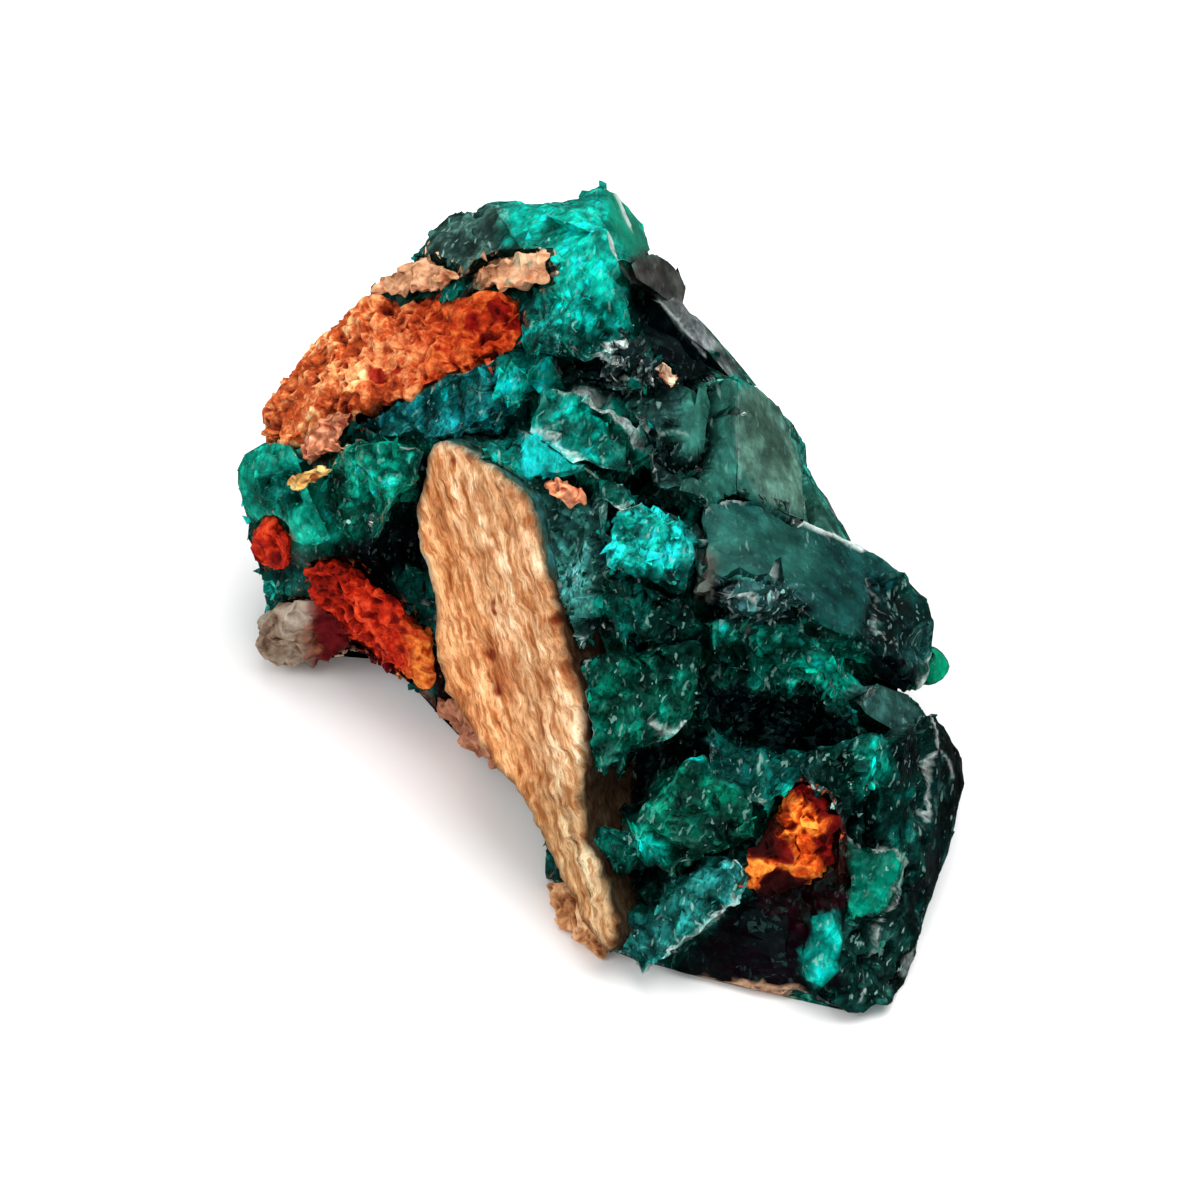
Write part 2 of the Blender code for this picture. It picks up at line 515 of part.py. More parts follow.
relic("left_ochre_spot", [(256, 534, -3.6), (270, 524, -2.6), (284, 530, -2), (286, 552, -2.4), (278, 562, -3.2),
                          (264, 562, -4.2), (255, 548, -4.4)], 1.8, 0.9, iron)
relic("lower_ochre_seam", [(312, 570, -2.6), (334, 564, -1.8), (352, 570, -1.2), (372, 588, -0.8), (394, 606, -0.6),
                           (412, 622, -0.6), (428, 640, -0.6), (434, 668, -1.2), (430, 684, -2), (418, 676, -3.2),
                           (396, 652, -4.2), (362, 640, -4.6), (340, 618, -4.2), (318, 596, -3.6)], 3.2, 0.92, iron)
relic("pale_nodule", [(258, 646, -7.2), (262, 622, -6.2), (276, 606, -5.4), (300, 602, -4.6), (318, 606, -4.2),
                      (346, 620, -5.4), (346, 648, -6.8), (318, 658, -7.6), (292, 664, -8.2), (268, 660, -8.2)], 2.4, 0.86, pale)
relic("under_slab_relic", [(440, 704, -3.6), (456, 702, -2.2), (470, 712, -1.4), (484, 736, -0.8), (502, 766, -0.4),
                           (480, 752, -2.4), (456, 728, -3.8)], 2.2, 0.9, pale)
relic("foot_relic", [(548, 886, 1.2), (562, 890, 2.4), (584, 890, 3.8), (594, 910, 4.6), (604, 936, 5), (600, 950, 4.6),
                     (576, 938, 3.4), (558, 918, 2.4)], 2.2, 0.9, buff)
relic("front_ochre_pocket", [(748, 884, 8), (756, 864, 8.4), (772, 850, 8.6), (780, 824, 8.4), (786, 806, 8.2), (802, 790, 8.2),
                             (822, 802, 8.6), (834, 826, 8.8), (826, 858, 8.8), (818, 872, 8.6), (786, 884, 8.2), (764, 892, 8)],
      3.0, 0.85, iron)

# ------------------------------------------------------------- hollows and cuts
HOLLOWS = [
    ("left_hollow", [(368, 560, 3), (384, 524, 4), (418, 500, 5), (434, 520, 5), (440, 590, 4), (438, 640, 3),
                     (424, 640, 2), (400, 590, 2)], 5.6),
    ("left_crack", [(316, 552, 3), (340, 545, 3), (352, 560, 3), (340, 566, 3), (312, 562, 2)], 4.4),
    ("upper_recess", [(560, 376, 9), (580, 358, 9), (604, 356, 9), (640, 392, 8.6), (632, 404, 8.6), (604, 388, 9)], 5.0),
    ("centre_hollow", [(700, 690, 11), (740, 682, 11), (770, 704, 11), (846, 720, 10), (872, 740, 10), (846, 758, 10),
                       (790, 758, 11), (744, 746, 11), (712, 722, 11)], 7.2),
    ("low_hollow", [(632, 748, 10), (690, 732, 11), (706, 748, 11), (668, 770, 11), (644, 804, 10), (608, 824, 9),
                    (606, 790, 9)], 6.2),
    ("low_hollow_2", [(604, 878, 9), (640, 868, 10), (664, 876, 10), (640, 896, 10), (616, 908, 9)], 4.6),
    ("front_shadow", [(700, 950, 12), (746, 906, 12), (752, 888, 12), (790, 896, 12), (800, 900, 12), (800, 980, 12),
                      (760, 984, 12), (700, 970, 12)], 6.2),
    ("pocket_side", [(826, 800, 12), (842, 830, 12), (842, 900, 12), (800, 906, 12), (818, 870, 12)], 4.4),
    ("slab_side_crack", [(546, 572, 9), (552, 572, 9), (570, 640, 9), (586, 684, 9), (576, 690, 9), (562, 640, 9)], 4.6),
    ("dark_crack", [(462, 432, 8), (490, 440, 8), (512, 426, 9), (532, 402, 9), (526, 400, 9), (504, 422, 9),
                    (478, 430, 8)], 3.6),
]
for name, rim, deep in HOLLOWS:
    pockets.append(helper(hull(name, block_points(rim, deep, 0.72), cutters)))

under = bmesh.new()
bmesh.ops.create_cube(under, size=0.2)
bmesh.ops.translate(under, verts=under.verts, vec=(0, 0, -0.1))
below = helper(from_bmesh("resting_cut", under, cutters))

# --------------------------------------------------------------------- assembly
mass = hull("dioptase_crystals", [v.co.copy() for v in blocks[0].data.vertices], specimen)
lumps.objects.unlink(blocks[0])
bpy.data.objects.remove(blocks[0])
combine(mass, lumps, "UNION")
keep_main(mass)
combine(mass, cutters, "DIFFERENCE")
keep_main(mass)
mass.data.materials.clear()
mass.data.materials.append(green)

# Where two relics meet, the slab keeps its shape, then the smaller of the two.
def size_of(obj):
    d = obj.dimensions
    return d.x * d.y * d.z


def box(obj):
    xs, ys, zs = zip(*(v.co for v in obj.data.vertices))
    return (min(xs), min(ys), min(zs)), (max(xs), max(ys), max(zs))


def meet(one, two):
    (a0, a1), (b0, b1) = box(one), box(two)
    return all(a0[k] < b1[k] and b0[k] < a1[k] for k in range(3))


bpy.context.view_layer.update()
order = relics[:1] + sorted(relics[1:], key=size_of)
for k, obj in enumerate(order):
    for other in order[:k]:
        room = cutters.objects[other.name + "_pocket"]
        if meet(obj, room):
            combine(obj, room, "DIFFERENCE")
            keep_main(obj)
    combine(obj, below, "DIFFERENCE")

# The origin: the middle of the specimen's box, on the surface it rests on.
lows, highs = zip(*(box(obj) for obj in specimen.objects))
low = [min(p[k] for p in lows) for k in range(3)]
high = [max(p[k] for p in highs) for k in range(3)]
home = Vector((-(low[0] + high[0]) / 2, -(low[1] + high[1]) / 2, -low[2]))
for obj in specimen.objects:
    obj.data.transform(Matrix.Translation(home))
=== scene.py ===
"""The looks of the dioptase specimen: grown-together blue-green crystals on relics of host rock."""

import math

import bmesh
import bpy
import numpy as np
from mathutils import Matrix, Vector
from mathutils.kdtree import KDTree


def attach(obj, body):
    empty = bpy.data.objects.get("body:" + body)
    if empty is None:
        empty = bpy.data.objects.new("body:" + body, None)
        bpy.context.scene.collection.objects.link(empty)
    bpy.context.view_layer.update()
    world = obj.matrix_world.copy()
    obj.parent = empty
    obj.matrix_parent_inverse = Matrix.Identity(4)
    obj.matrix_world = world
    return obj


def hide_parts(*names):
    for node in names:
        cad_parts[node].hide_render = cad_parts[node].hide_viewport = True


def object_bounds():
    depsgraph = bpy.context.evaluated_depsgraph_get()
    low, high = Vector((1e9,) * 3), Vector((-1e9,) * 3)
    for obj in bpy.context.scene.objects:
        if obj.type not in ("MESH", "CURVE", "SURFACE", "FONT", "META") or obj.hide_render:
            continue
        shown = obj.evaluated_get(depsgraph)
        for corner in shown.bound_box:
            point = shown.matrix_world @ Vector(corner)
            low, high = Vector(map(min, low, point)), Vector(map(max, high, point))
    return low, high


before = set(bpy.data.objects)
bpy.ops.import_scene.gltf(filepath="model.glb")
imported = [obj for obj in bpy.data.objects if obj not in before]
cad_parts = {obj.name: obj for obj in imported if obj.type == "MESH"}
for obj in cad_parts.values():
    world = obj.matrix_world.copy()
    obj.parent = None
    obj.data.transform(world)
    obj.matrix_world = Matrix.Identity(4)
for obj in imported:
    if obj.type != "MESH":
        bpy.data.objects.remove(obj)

CAD_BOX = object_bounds()

# ------------------------------------------------------------------ the drawing
# The face is read on a drawing grid: u right, w down (0.05 mm a unit), n mm towards the viewer.
LEAN = math.radians(48.0)
GRID = 0.05
MID = 600.0
SIGHT = 300.0
BASE = np.array([0.0451, -0.9131, 9.2])  # mm
RIGHT = np.array([1.0, 0.0, 0.0])
UP = np.array([0.0, math.sin(LEAN), math.cos(LEAN)])
OUT = np.array([0.0, -math.cos(LEAN), math.sin(LEAN)])


def to_drawing(P):
    d = P - BASE
    n = d @ OUT
    k = 1.0 - n / SIGHT
    return MID + (d @ RIGHT) / GRID / k, MID - (d @ UP) / GRID / k, n


# ------------------------------------------------------------------ noise tools
RNG = np.random.default_rng(7)
TAB = 4096
JIT = RNG.uniform(-1, 1, (TAB, 3))
UNI = RNG.uniform(0, 1, (TAB, 4))
SHAPE = RNG.uniform(0.62, 1.25, (TAB, 3))
_q = RNG.normal(size=(TAB, 4))
_q /= np.linalg.norm(_q, axis=1)[:, None]
_w, _x, _y, _z = _q.T
ROT = np.stack([
    np.stack([1 - 2 * (_y**2 + _z**2), 2 * (_x * _y - _z * _w), 2 * (_x * _z + _y * _w)], -1),
    np.stack([2 * (_x * _y + _z * _w), 1 - 2 * (_x**2 + _z**2), 2 * (_y * _z - _x * _w)], -1),
    np.stack([2 * (_x * _z - _y * _w), 2 * (_y * _z + _x * _w), 1 - 2 * (_x**2 + _y**2)], -1),
], 1)


def cell_hash(c, seed):
    c = c.astype(np.int64)
    h = (c[:, 0] * 73856093) ^ (c[:, 1] * 19349663) ^ (c[:, 2] * 83492791) ^ (seed * 2654435761)
    h = (h ^ (h >> 13)) * 1274126177
    return ((h ^ (h >> 16)) & (TAB - 1)).astype(np.int64)


def noise(P, size, seed):
    """Smooth noise in -1..1; P in mm, size of a feature in mm."""
    Q = P / size
    b = np.floor(Q)
    f = Q - b
    s = f * f * (3 - 2 * f)
    out = np.zeros(len(P))
    for dx in (0, 1):
        for dy in (0, 1):
            for dz in (0, 1):
                h = cell_hash(b + (dx, dy, dz), seed)
                w = (s[:, 0] if dx else 1 - s[:, 0]) * (s[:, 1] if dy else 1 - s[:, 1]) * (s[:, 2] if dz else 1 - s[:, 2])
                out += w * (UNI[h, 0] * 2 - 1)
    return out


def fbm(P, size, seed, octaves=3):
    out = np.zeros(len(P))
    a = 1.0
    for k in range(octaves):
        out += a * noise(P, size / 2**k, seed + k)
        a *= 0.5
    return out / 1.6


def facets(P, cell, seed):
    """Crystals packed at random: the height of the one on top, which one it is and which of its faces."""
    Q = P / cell
    b = np.floor(Q)
    best = np.full(len(P), -9.0)
    who = np.zeros(len(P), np.int64)
    side = np.zeros(len(P), np.int64)
    for dx in (-1, 0, 1):
        for dy in (-1, 0, 1):
            for dz in (-1, 0, 1):
                c = b + (dx, dy, dz)
                h = cell_hash(c, seed)
                d = Q - (c + 0.5 + 0.42 * JIT[h])
                q = np.einsum("nij,nj->ni", ROT[h], d) / SHAPE[h]
                a = np.abs(q)
                ax = a.argmax(1)
                m = a[np.arange(len(a)), ax]
                val = 0.75 * UNI[h, 1] - m
                up = val > best
                best[up] = val[up]
                who[up] = h[up]
                side[up] = (ax * 2 + (q[np.arange(len(q)), ax] > 0))[up]
    return best, who, side


def pits(P, cell, seed):
    """Distance to the nearest pit's middle, in cells."""
    Q = P / cell
    b = np.floor(Q)
    best = np.full(len(P), 9.0)
    for dx in (-1, 0, 1):
        for dy in (-1, 0, 1):
            for dz in (-1, 0, 1):
                c = b + (dx, dy, dz)
                h = cell_hash(c, seed)
                d = np.linalg.norm(Q - (c + 0.5 + 0.4 * JIT[h]), axis=1)
                best = np.minimum(best, d)
    return best


def step(a, b, x):
    t = np.clip((x - a) / (b - a), 0, 1)
    return t * t * (3 - 2 * t)


def inside(u, w, poly):
    """Signed distance in drawing units to a polygon's edge, positive inside."""
    best = np.full(len(u), 1e9)
    odd = np.zeros(len(u), bool)
    for (u1, w1), (u2, w2) in zip(poly, poly[1:] + poly[:1]):
        du, dw = u2 - u1, w2 - w1
        t = np.clip(((u - u1) * du + (w - w1) * dw) / (du * du + dw * dw + 1e-9), 0, 1)
        best = np.minimum(best, np.hypot(u - u1 - t * du, w - w1 - t * dw))
        hit = ((w1 > w) != (w2 > w)) & (u < u1 + (w - w1) * du / (dw if dw else 1e-9))
        odd ^= hit
    return np.where(odd, best, -best)


def line(u, w, pts):
    best = np.full(len(u), 1e9)
    for (u1, w1), (u2, w2) in zip(pts, pts[1:]):
        du, dw = u2 - u1, w2 - w1
        t = np.clip(((u - u1) * du + (w - w1) * dw) / (du * du + dw * dw + 1e-9), 0, 1)
        best = np.minimum(best, np.hypot(u - u1 - t * du, w - w1 - t * dw))
    return best


# ------------------------------------------------------------------- mesh tools
def read_node(name):
    """A CAD node's corners, in mm and merged, and its triangles."""
    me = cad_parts[name].data
    me.calc_loop_triangles()
    co = np.zeros(len(me.vertices) * 3)
    me.vertices.foreach_get("co", co)
    co = co.reshape(-1, 3) * 1000.0
    tri = np.zeros(len(me.loop_triangles) * 3, np.int64)
    me.loop_triangles.foreach_get("vertices", tri)
    tri = tri.reshape(-1, 3)
    _, first, back = np.unique(np.round(co, 4), axis=0, return_index=True, return_inverse=True)
    tri = back.reshape(-1)[tri]
    ok = (tri[:, 0] != tri[:, 1]) & (tri[:, 1] != tri[:, 2]) & (tri[:, 0] != tri[:, 2])
    return co[first], tri[ok]


def refine(P, T, limit, most):
    """Halves long edges until each is shorter than limit says there, in even stages."""
    for times in (6.0, 3.0, 1.7, 1.25, 1.0):
        P, T = refine_stage(P, T, limit, most, times)
    return P, T


def refine_stage(P, T, limit, most, times):
    for _ in range(40):
        E = np.concatenate([T[:, [1, 2]], T[:, [2, 0]], T[:, [0, 1]]])
        E.sort(axis=1)
        key = E[:, 0] * (len(P) + 1) + E[:, 1]
        uk, first, back = np.unique(key, return_index=True, return_inverse=True)
        back = back.reshape(-1)
        U = E[first]
        mid = (P[U[:, 0]] + P[U[:, 1]]) / 2
        length = np.linalg.norm(P[U[:, 0]] - P[U[:, 1]], axis=1)
        ratio = length / (limit(mid) * times)
        over = ratio > 1.0
        m = len(T)
        te = np.stack([back[:m], back[m:2 * m], back[2 * m:]], 1)
        longest = te[np.arange(m), length[te].argmax(1)]
        mark = np.zeros(len(U), bool)
        mark[longest] = True
        mark &= over
        room = (most - m) // 2
        if not mark.any() or room < 100:
            break
        if mark.sum() > room:
            mark[np.argsort(-np.where(mark, ratio, 0.0))[room:]] = False
        new = np.full(len(U), -1)
        new[mark] = len(P) + np.arange(mark.sum())
        P = np.concatenate([P, mid[mark]])
        a, b, c = T.T
        ma, mb, mc = new[te].T  # opposite a, b, c
        A, B, C = ma >= 0, mb >= 0, mc >= 0
        out = [T[~A & ~B & ~C]]

        def emit(sel, *tris):
            for t in tris:
                out.append(np.stack([v[sel] for v in t], 1))

        emit(A & ~B & ~C, (a, b, ma), (a, ma, c))
        emit(~A & B & ~C, (b, c, mb), (b, mb, a))
        emit(~A & ~B & C, (c, a, mc), (c, mc, b))
        emit(A & B & ~C, (c, mb, ma), (a, b, mb), (mb, b, ma))
        emit(~A & B & C, (a, mc, mb), (b, c, mc), (mc, c, mb))
        emit(A & ~B & C, (b, ma, mc), (c, a, ma), (ma, a, mc))
        emit(A & B & C, (a, mc, mb), (b, ma, mc), (c, mb, ma), (ma, mb, mc))
        T = np.concatenate(out)
    return P, T


def normals(P, T):
    n = np.cross(P[T[:, 1]] - P[T[:, 0]], P[T[:, 2]] - P[T[:, 0]])
    out = np.zeros_like(P)
    for k in range(3):
        np.add.at(out, T[:, k], n)
    return out / (np.linalg.norm(out, axis=1)[:, None] + 1e-12)


def blur(P, T, V, times):
    """Evens a value out over the mesh."""
    E = np.concatenate([T[:, [0, 1]], T[:, [1, 2]], T[:, [2, 0]]])
    E = np.concatenate([E, E[:, ::-1]])
    count = np.bincount(E[:, 0], minlength=len(P)) + 1.0
    for _ in range(times):
        s = V.copy()
        for k in range(V.shape[1]):
            s[:, k] += np.bincount(E[:, 0], weights=V[E[:, 1], k], minlength=len(P))
        V = s / count[:, None]
    return V


def make(name, P, T, mat, smooth=False, **attrs):
    me = bpy.data.meshes.new(name)
    me.vertices.add(len(P))
    me.vertices.foreach_set("co", (P / 1000.0).astype(np.float32).ravel())
    me.loops.add(len(T) * 3)
    me.loops.foreach_set("vertex_index", T.astype(np.int32).ravel())
    me.polygons.add(len(T))
    me.polygons.foreach_set("loop_start", np.arange(0, len(T) * 3, 3, dtype=np.int32))
    me.update(calc_edges=True)
    me.polygons.foreach_set("use_smooth", np.full(len(T), smooth))
    for key, val in attrs.items():
        if val.ndim == 2:
            a = me.attributes.new(key, "FLOAT_COLOR", "POINT")
            rgba = np.ones((len(P), 4), np.float32)
            rgba[:, :3] = val
            a.data.foreach_set("color", rgba.ravel())
        else:
            a = me.attributes.new(key, "FLOAT", "POINT")
            a.data.foreach_set("value", val.astype(np.float32))
    me.materials.append(mat)
    me.update()
    obj = bpy.data.objects.new(name, me)
    bpy.context.scene.collection.objects.link(obj)
    return obj


# -------------------------------------------------------------------- materials
class Nodes:
    def __init__(self, name):
        self.mat = bpy.data.materials.new(name)
        self.mat.use_nodes = True
        self.tree = self.mat.node_tree
        self.bsdf = self.tree.nodes["Principled BSDF"]
        self.out = self.tree.nodes["Material Output"]
        self.coord = self.new("ShaderNodeTexCoord").outputs["Object"]

    def new(self, kind, **props):
        n = self.tree.nodes.new(kind)
        for k, v in props.items():
            setattr(n, k, v)
        return n

    def link(self, a, b):
        self.tree.links.new(a, b)

    def put(self, node, key, value):
        if isinstance(value, bpy.types.NodeSocket):
            self.link(value, node.inputs[key])
        else:
            node.inputs[key].default_value = value

    def attr(self, name, out="Fac"):
        n = self.new("ShaderNodeAttribute", attribute_name=name)
        return n.outputs[out]

    def math(self, op, a, b=0.0, clamp=False):
        n = self.new("ShaderNodeMath", operation=op, use_clamp=clamp)
        self.put(n, 0, a)
        self.put(n, 1, b)
        return n.outputs[0]

    def noise(self, scale, detail=3.0, rough=0.5, coord=None, stretch=None):
        c = coord or self.coord
        if stretch:
            m = self.new("ShaderNodeMapping")
            self.link(c, m.inputs["Vector"])
            m.inputs["Scale"].default_value = stretch
            c = m.outputs["Vector"]
        n = self.new("ShaderNodeTexNoise")
        self.link(c, n.inputs["Vector"])
        n.inputs["Scale"].default_value = scale
        n.inputs["Detail"].default_value = detail
        n.inputs["Roughness"].default_value = rough
        return n.outputs["Fac"]

    def voronoi(self, scale, feature="F1", out="Distance", coord=None, random=1.0):
        n = self.new("ShaderNodeTexVoronoi", feature=feature)
        self.link(coord or self.coord, n.inputs["Vector"])
        n.inputs["Scale"].default_value = scale
        n.inputs["Randomness"].default_value = random
        return n.outputs[out]

    def ramp(self, fac, stops, mode="LINEAR"):
        n = self.new("ShaderNodeValToRGB")
        n.color_ramp.interpolation = mode
        els = n.color_ramp.elements
        while len(els) < len(stops):
            els.new(0.5)
        for e, (pos, col) in zip(els, stops):
            e.position = pos
            e.color = (*col, 1.0) if isinstance(col, tuple) else (col, col, col, 1.0)
        self.link(fac, n.inputs["Fac"])
        return n.outputs["Color"]

    def mix(self, fac, a, b, blend="MIX"):
        n = self.new("ShaderNodeMix", data_type="RGBA", blend_type=blend, clamp_factor=True)
        self.put(n, 0, fac)
        for key, v in ((6, a), (7, b)):
            if isinstance(v, tuple):
                v = (*v, 1.0)
            self.put(n, key, v)
        return n.outputs[2]

    def bump(self, height, strength, distance, below=None):
        n = self.new("ShaderNodeBump")
        n.inputs["Strength"].default_value = strength
        n.inputs["Distance"].default_value = distance
        self.link(height, n.inputs["Height"])
        if below is not None:
            self.link(below, n.inputs["Normal"])
        return n.outputs["Normal"]


def dioptase(name, clear, absorb, density, grain, rough_add=0.0):
    """Blue-green crystal: see-through with frosted, flawed breaks."""
    s = Nodes(name)
    tint = s.attr("tint", "Color")
    flaw = s.attr("flaw")
    # internal flaws and breaks: small faces, each its own lightness
    cells = s.voronoi(grain, "F1", "Color")
    sep = s.new("ShaderNodeSeparateColor")
    s.link(cells, sep.inputs["Color"])
    light = s.ramp(sep.outputs["Red"], [(0.0, 0.5), (0.45, 0.85), (0.8, 1.2), (1.0, 1.8)])
    varied = s.mix(s.math("MULTIPLY", flaw, 0.9), tint, s.mix(1.0, tint, light, "MULTIPLY"))
    cloud = s.ramp(s.noise(900.0, 4.0, 0.6), [(0.3, 0.6), (0.7, 1.4)])
    varied = s.mix(0.7, varied, s.mix(1.0, varied, cloud, "MULTIPLY"))
    # fine pale scratches and chipped edges, partly painted glints
    scratch = s.ramp(s.noise(2600.0, 2.0, 0.5, stretch=(1.0, 0.28, 0.5)), [(0.66, 0.0), (0.74, 1.0)])
    chip = s.ramp(s.voronoi(grain * 1.7, "DISTANCE_TO_EDGE"), [(0.0, 1.0), (0.035, 0.0)])
    pale = s.math("MULTIPLY", s.attr("spark"), s.math("MAXIMUM", scratch, s.math("MULTIPLY", chip, scratch)), True)
    streak = s.new("ShaderNodeMapping", vector_type="TEXTURE")
    streak.inputs["Rotation"].default_value = (0.0, -0.632, 0.950)
    streak.inputs["Scale"].default_value = (3.4, 1.0, 1.0)
    s.link(s.coord, streak.inputs["Vector"])
    bands = s.ramp(s.noise(3400.0, 3.0, 0.6, streak.outputs["Vector"]), [(0.32, 0.55), (0.68, 1.5)])
    varied = s.mix(s.math("MULTIPLY", flaw, 0.8), varied, s.mix(1.0, varied, bands, "MULTIPLY"))
    tiny = s.new("ShaderNodeSeparateColor")
    bent = s.new("ShaderNodeVectorMath", operation="MULTIPLY_ADD")
    wave = s.new("ShaderNodeTexNoise")
    wave.inputs["Scale"].default_value = 1400.0
    s.link(s.coord, wave.inputs["Vector"])
    s.link(wave.outputs["Color"], bent.inputs[0])
    bent.inputs[1].default_value = (0.0005, 0.0005, 0.0005)
    s.link(streak.outputs["Vector"], bent.inputs[2])
    s.link(s.voronoi(8200.0, "F1", "Color", coord=bent.outputs["Vector"]), tiny.inputs["Color"])
    # painted glints: a few tiny cells turned pale
    glint = s.ramp(tiny.outputs["Red"], [(0.965, 0.0), (0.985, 0.8)])
    dull = s.ramp(tiny.outputs["Green"], [(0.72, 1.0), (0.80, 0.3)])
    varied = s.mix(s.math("MULTIPLY", flaw, 0.8), varied, s.mix(1.0, varied, dull, "MULTIPLY"))
    pale = s.math("MAXIMUM", pale, s.math("MULTIPLY", s.math("MULTIPLY", s.attr("spark"), flaw), glint))
    colour = s.mix(pale, varied, (0.42, 0.80, 0.70))
    s.link(colour, s.bsdf.inputs["Base Color"])
    rough = s.math("ADD", s.attr("rough"), s.math("MULTIPLY", s.noise(1500.0, 3.0), 0.16))
    s.link(s.math("SUBTRACT", rough, 0.06 - rough_add, True), s.bsdf.inputs["Roughness"])
    s.bsdf.inputs["IOR"].default_value = 1.66
    s.bsdf.inputs["Specular IOR Level"].default_value = 0.2
    s.bsdf.inputs["Specular Tint"].default_value = (0.07, 0.22, 0.20, 1.0)
    s.bsdf.inputs["Transmission Weight"].default_value = clear
    low = s.bump(s.noise(700.0, 4.0, 0.55), 0.25, 0.0002)
    mid = s.bump(s.voronoi(grain, "F1", "Distance"), 0.35, 0.0002, low)
    last = s.bump(scratch, 0.2, 0.0001, mid)
    for normal, much in ((low, 0.30), (mid, 0.42), (last, 0.24)):
        s.link(s.math("MULTIPLY", flaw, much), normal.node.inputs["Strength"])
    s.link(last, s.bsdf.inputs["Normal"])
    vol = s.new("ShaderNodeVolumeAbsorption")
    vol.inputs["Color"].default_value = (*absorb, 1.0)
    vol.inputs["Density"].default_value = density
    s.link(vol.outputs["Volume"], s.out.inputs["Volume"])
    return s.mat


def rock(name, dark, mid, light, fine, bump, stretch=None, rough=0.85, stain=None, fibre=False):
    """Dull host rock: a granular body colour from dark hollows to light crests."""
    s = Nodes(name)
    height = s.attr("height")
    if fibre:
        s.coord = s.attr("along", "Vector")
    n1 = s.noise(fine, 5.0, 0.65, stretch=stretch)
    n2 = s.noise(fine * 0.22, 3.0, 0.5, stretch=stretch)
    mixed = s.math("ADD", s.math("MULTIPLY", n1, 1.5), s.math("MULTIPLY", n2, 0.6))
    fac = s.math("ADD", s.math("MULTIPLY", height, 0.75), s.math("SUBTRACT", mixed, 0.95), True)
    body = s.ramp(fac, [(0.0, dark), (0.42, mid), (0.85, light)])
    tinted = s.mix(1.0, body, s.attr("tint", "Color"), "MULTIPLY")
    split = None
    if fibre:
        split = s.ramp(s.noise(fine * 0.5, 4.0, 0.7), [(0.505, 0.0), (0.575, 1.0)])
        tinted = s.mix(s.math("MULTIPLY", split, 0.9), tinted, s.mix(1.0, tinted, (0.50, 0.28, 0.16), "MULTIPLY"))
    grains = s.ramp(s.voronoi(fine * 1.1, "F1", "Distance"), [(0.0, 1.15), (0.6, 0.8)])
    tinted = s.mix(0.6, tinted, s.mix(1.0, tinted, grains, "MULTIPLY"))
    if stain:
        spots = s.ramp(s.noise(fine * 0.4, 4.0, 0.7), [(0.58, 0.0), (0.68, 1.0)])
        tinted = s.mix(s.math("MULTIPLY", spots, 0.7), tinted, stain)
    s.link(tinted, s.bsdf.inputs["Base Color"])
    s.link(s.math("ADD", s.math("MULTIPLY", n1, 0.25), rough - 0.15, True), s.bsdf.inputs["Roughness"])
    s.bsdf.inputs["Specular IOR Level"].default_value = 0.12
    low = s.bump(n1, bump, 0.0002)
    if fibre:
        low = s.bump(s.math("SUBTRACT", 1.0, split), 0.5, 0.00012, low)
    s.link(s.bump(s.voronoi(fine * 1.1, "F1", "Distance"), bump * 0.6, 0.0001, low), s.bsdf.inputs["Normal"])
    return s.mat


# ------------------------------------------------------------- the crystal mass
# Places on the face: outline, soft edge in drawing units, colour, and then
# facet (size of the broken facets, mm), relief (their depth, mm), rough, flaw, spark (pale scratches and painted
# glints), grains a square mm.
BRIGHT = (0.0, 0.40, 0.30)
CYAN = (0.008, 0.66, 0.57)
MIDT = (0.0, 0.21, 0.155)
DEEP = (0.0, 0.058, 0.040)
DARK = (0.0, 0.022, 0.020)
BLACK = (0.001, 0.003, 0.004)
# SHEEN and SHEEN_LOW: painted sheen, the grey-green of soft light reflected broadly on dark crystal
SHEEN = (0.085, 0.130, 0.105)
SHEEN_LOW = (0.016, 0.075, 0.066)
BLUE = (0.002, 0.120, 0.122)

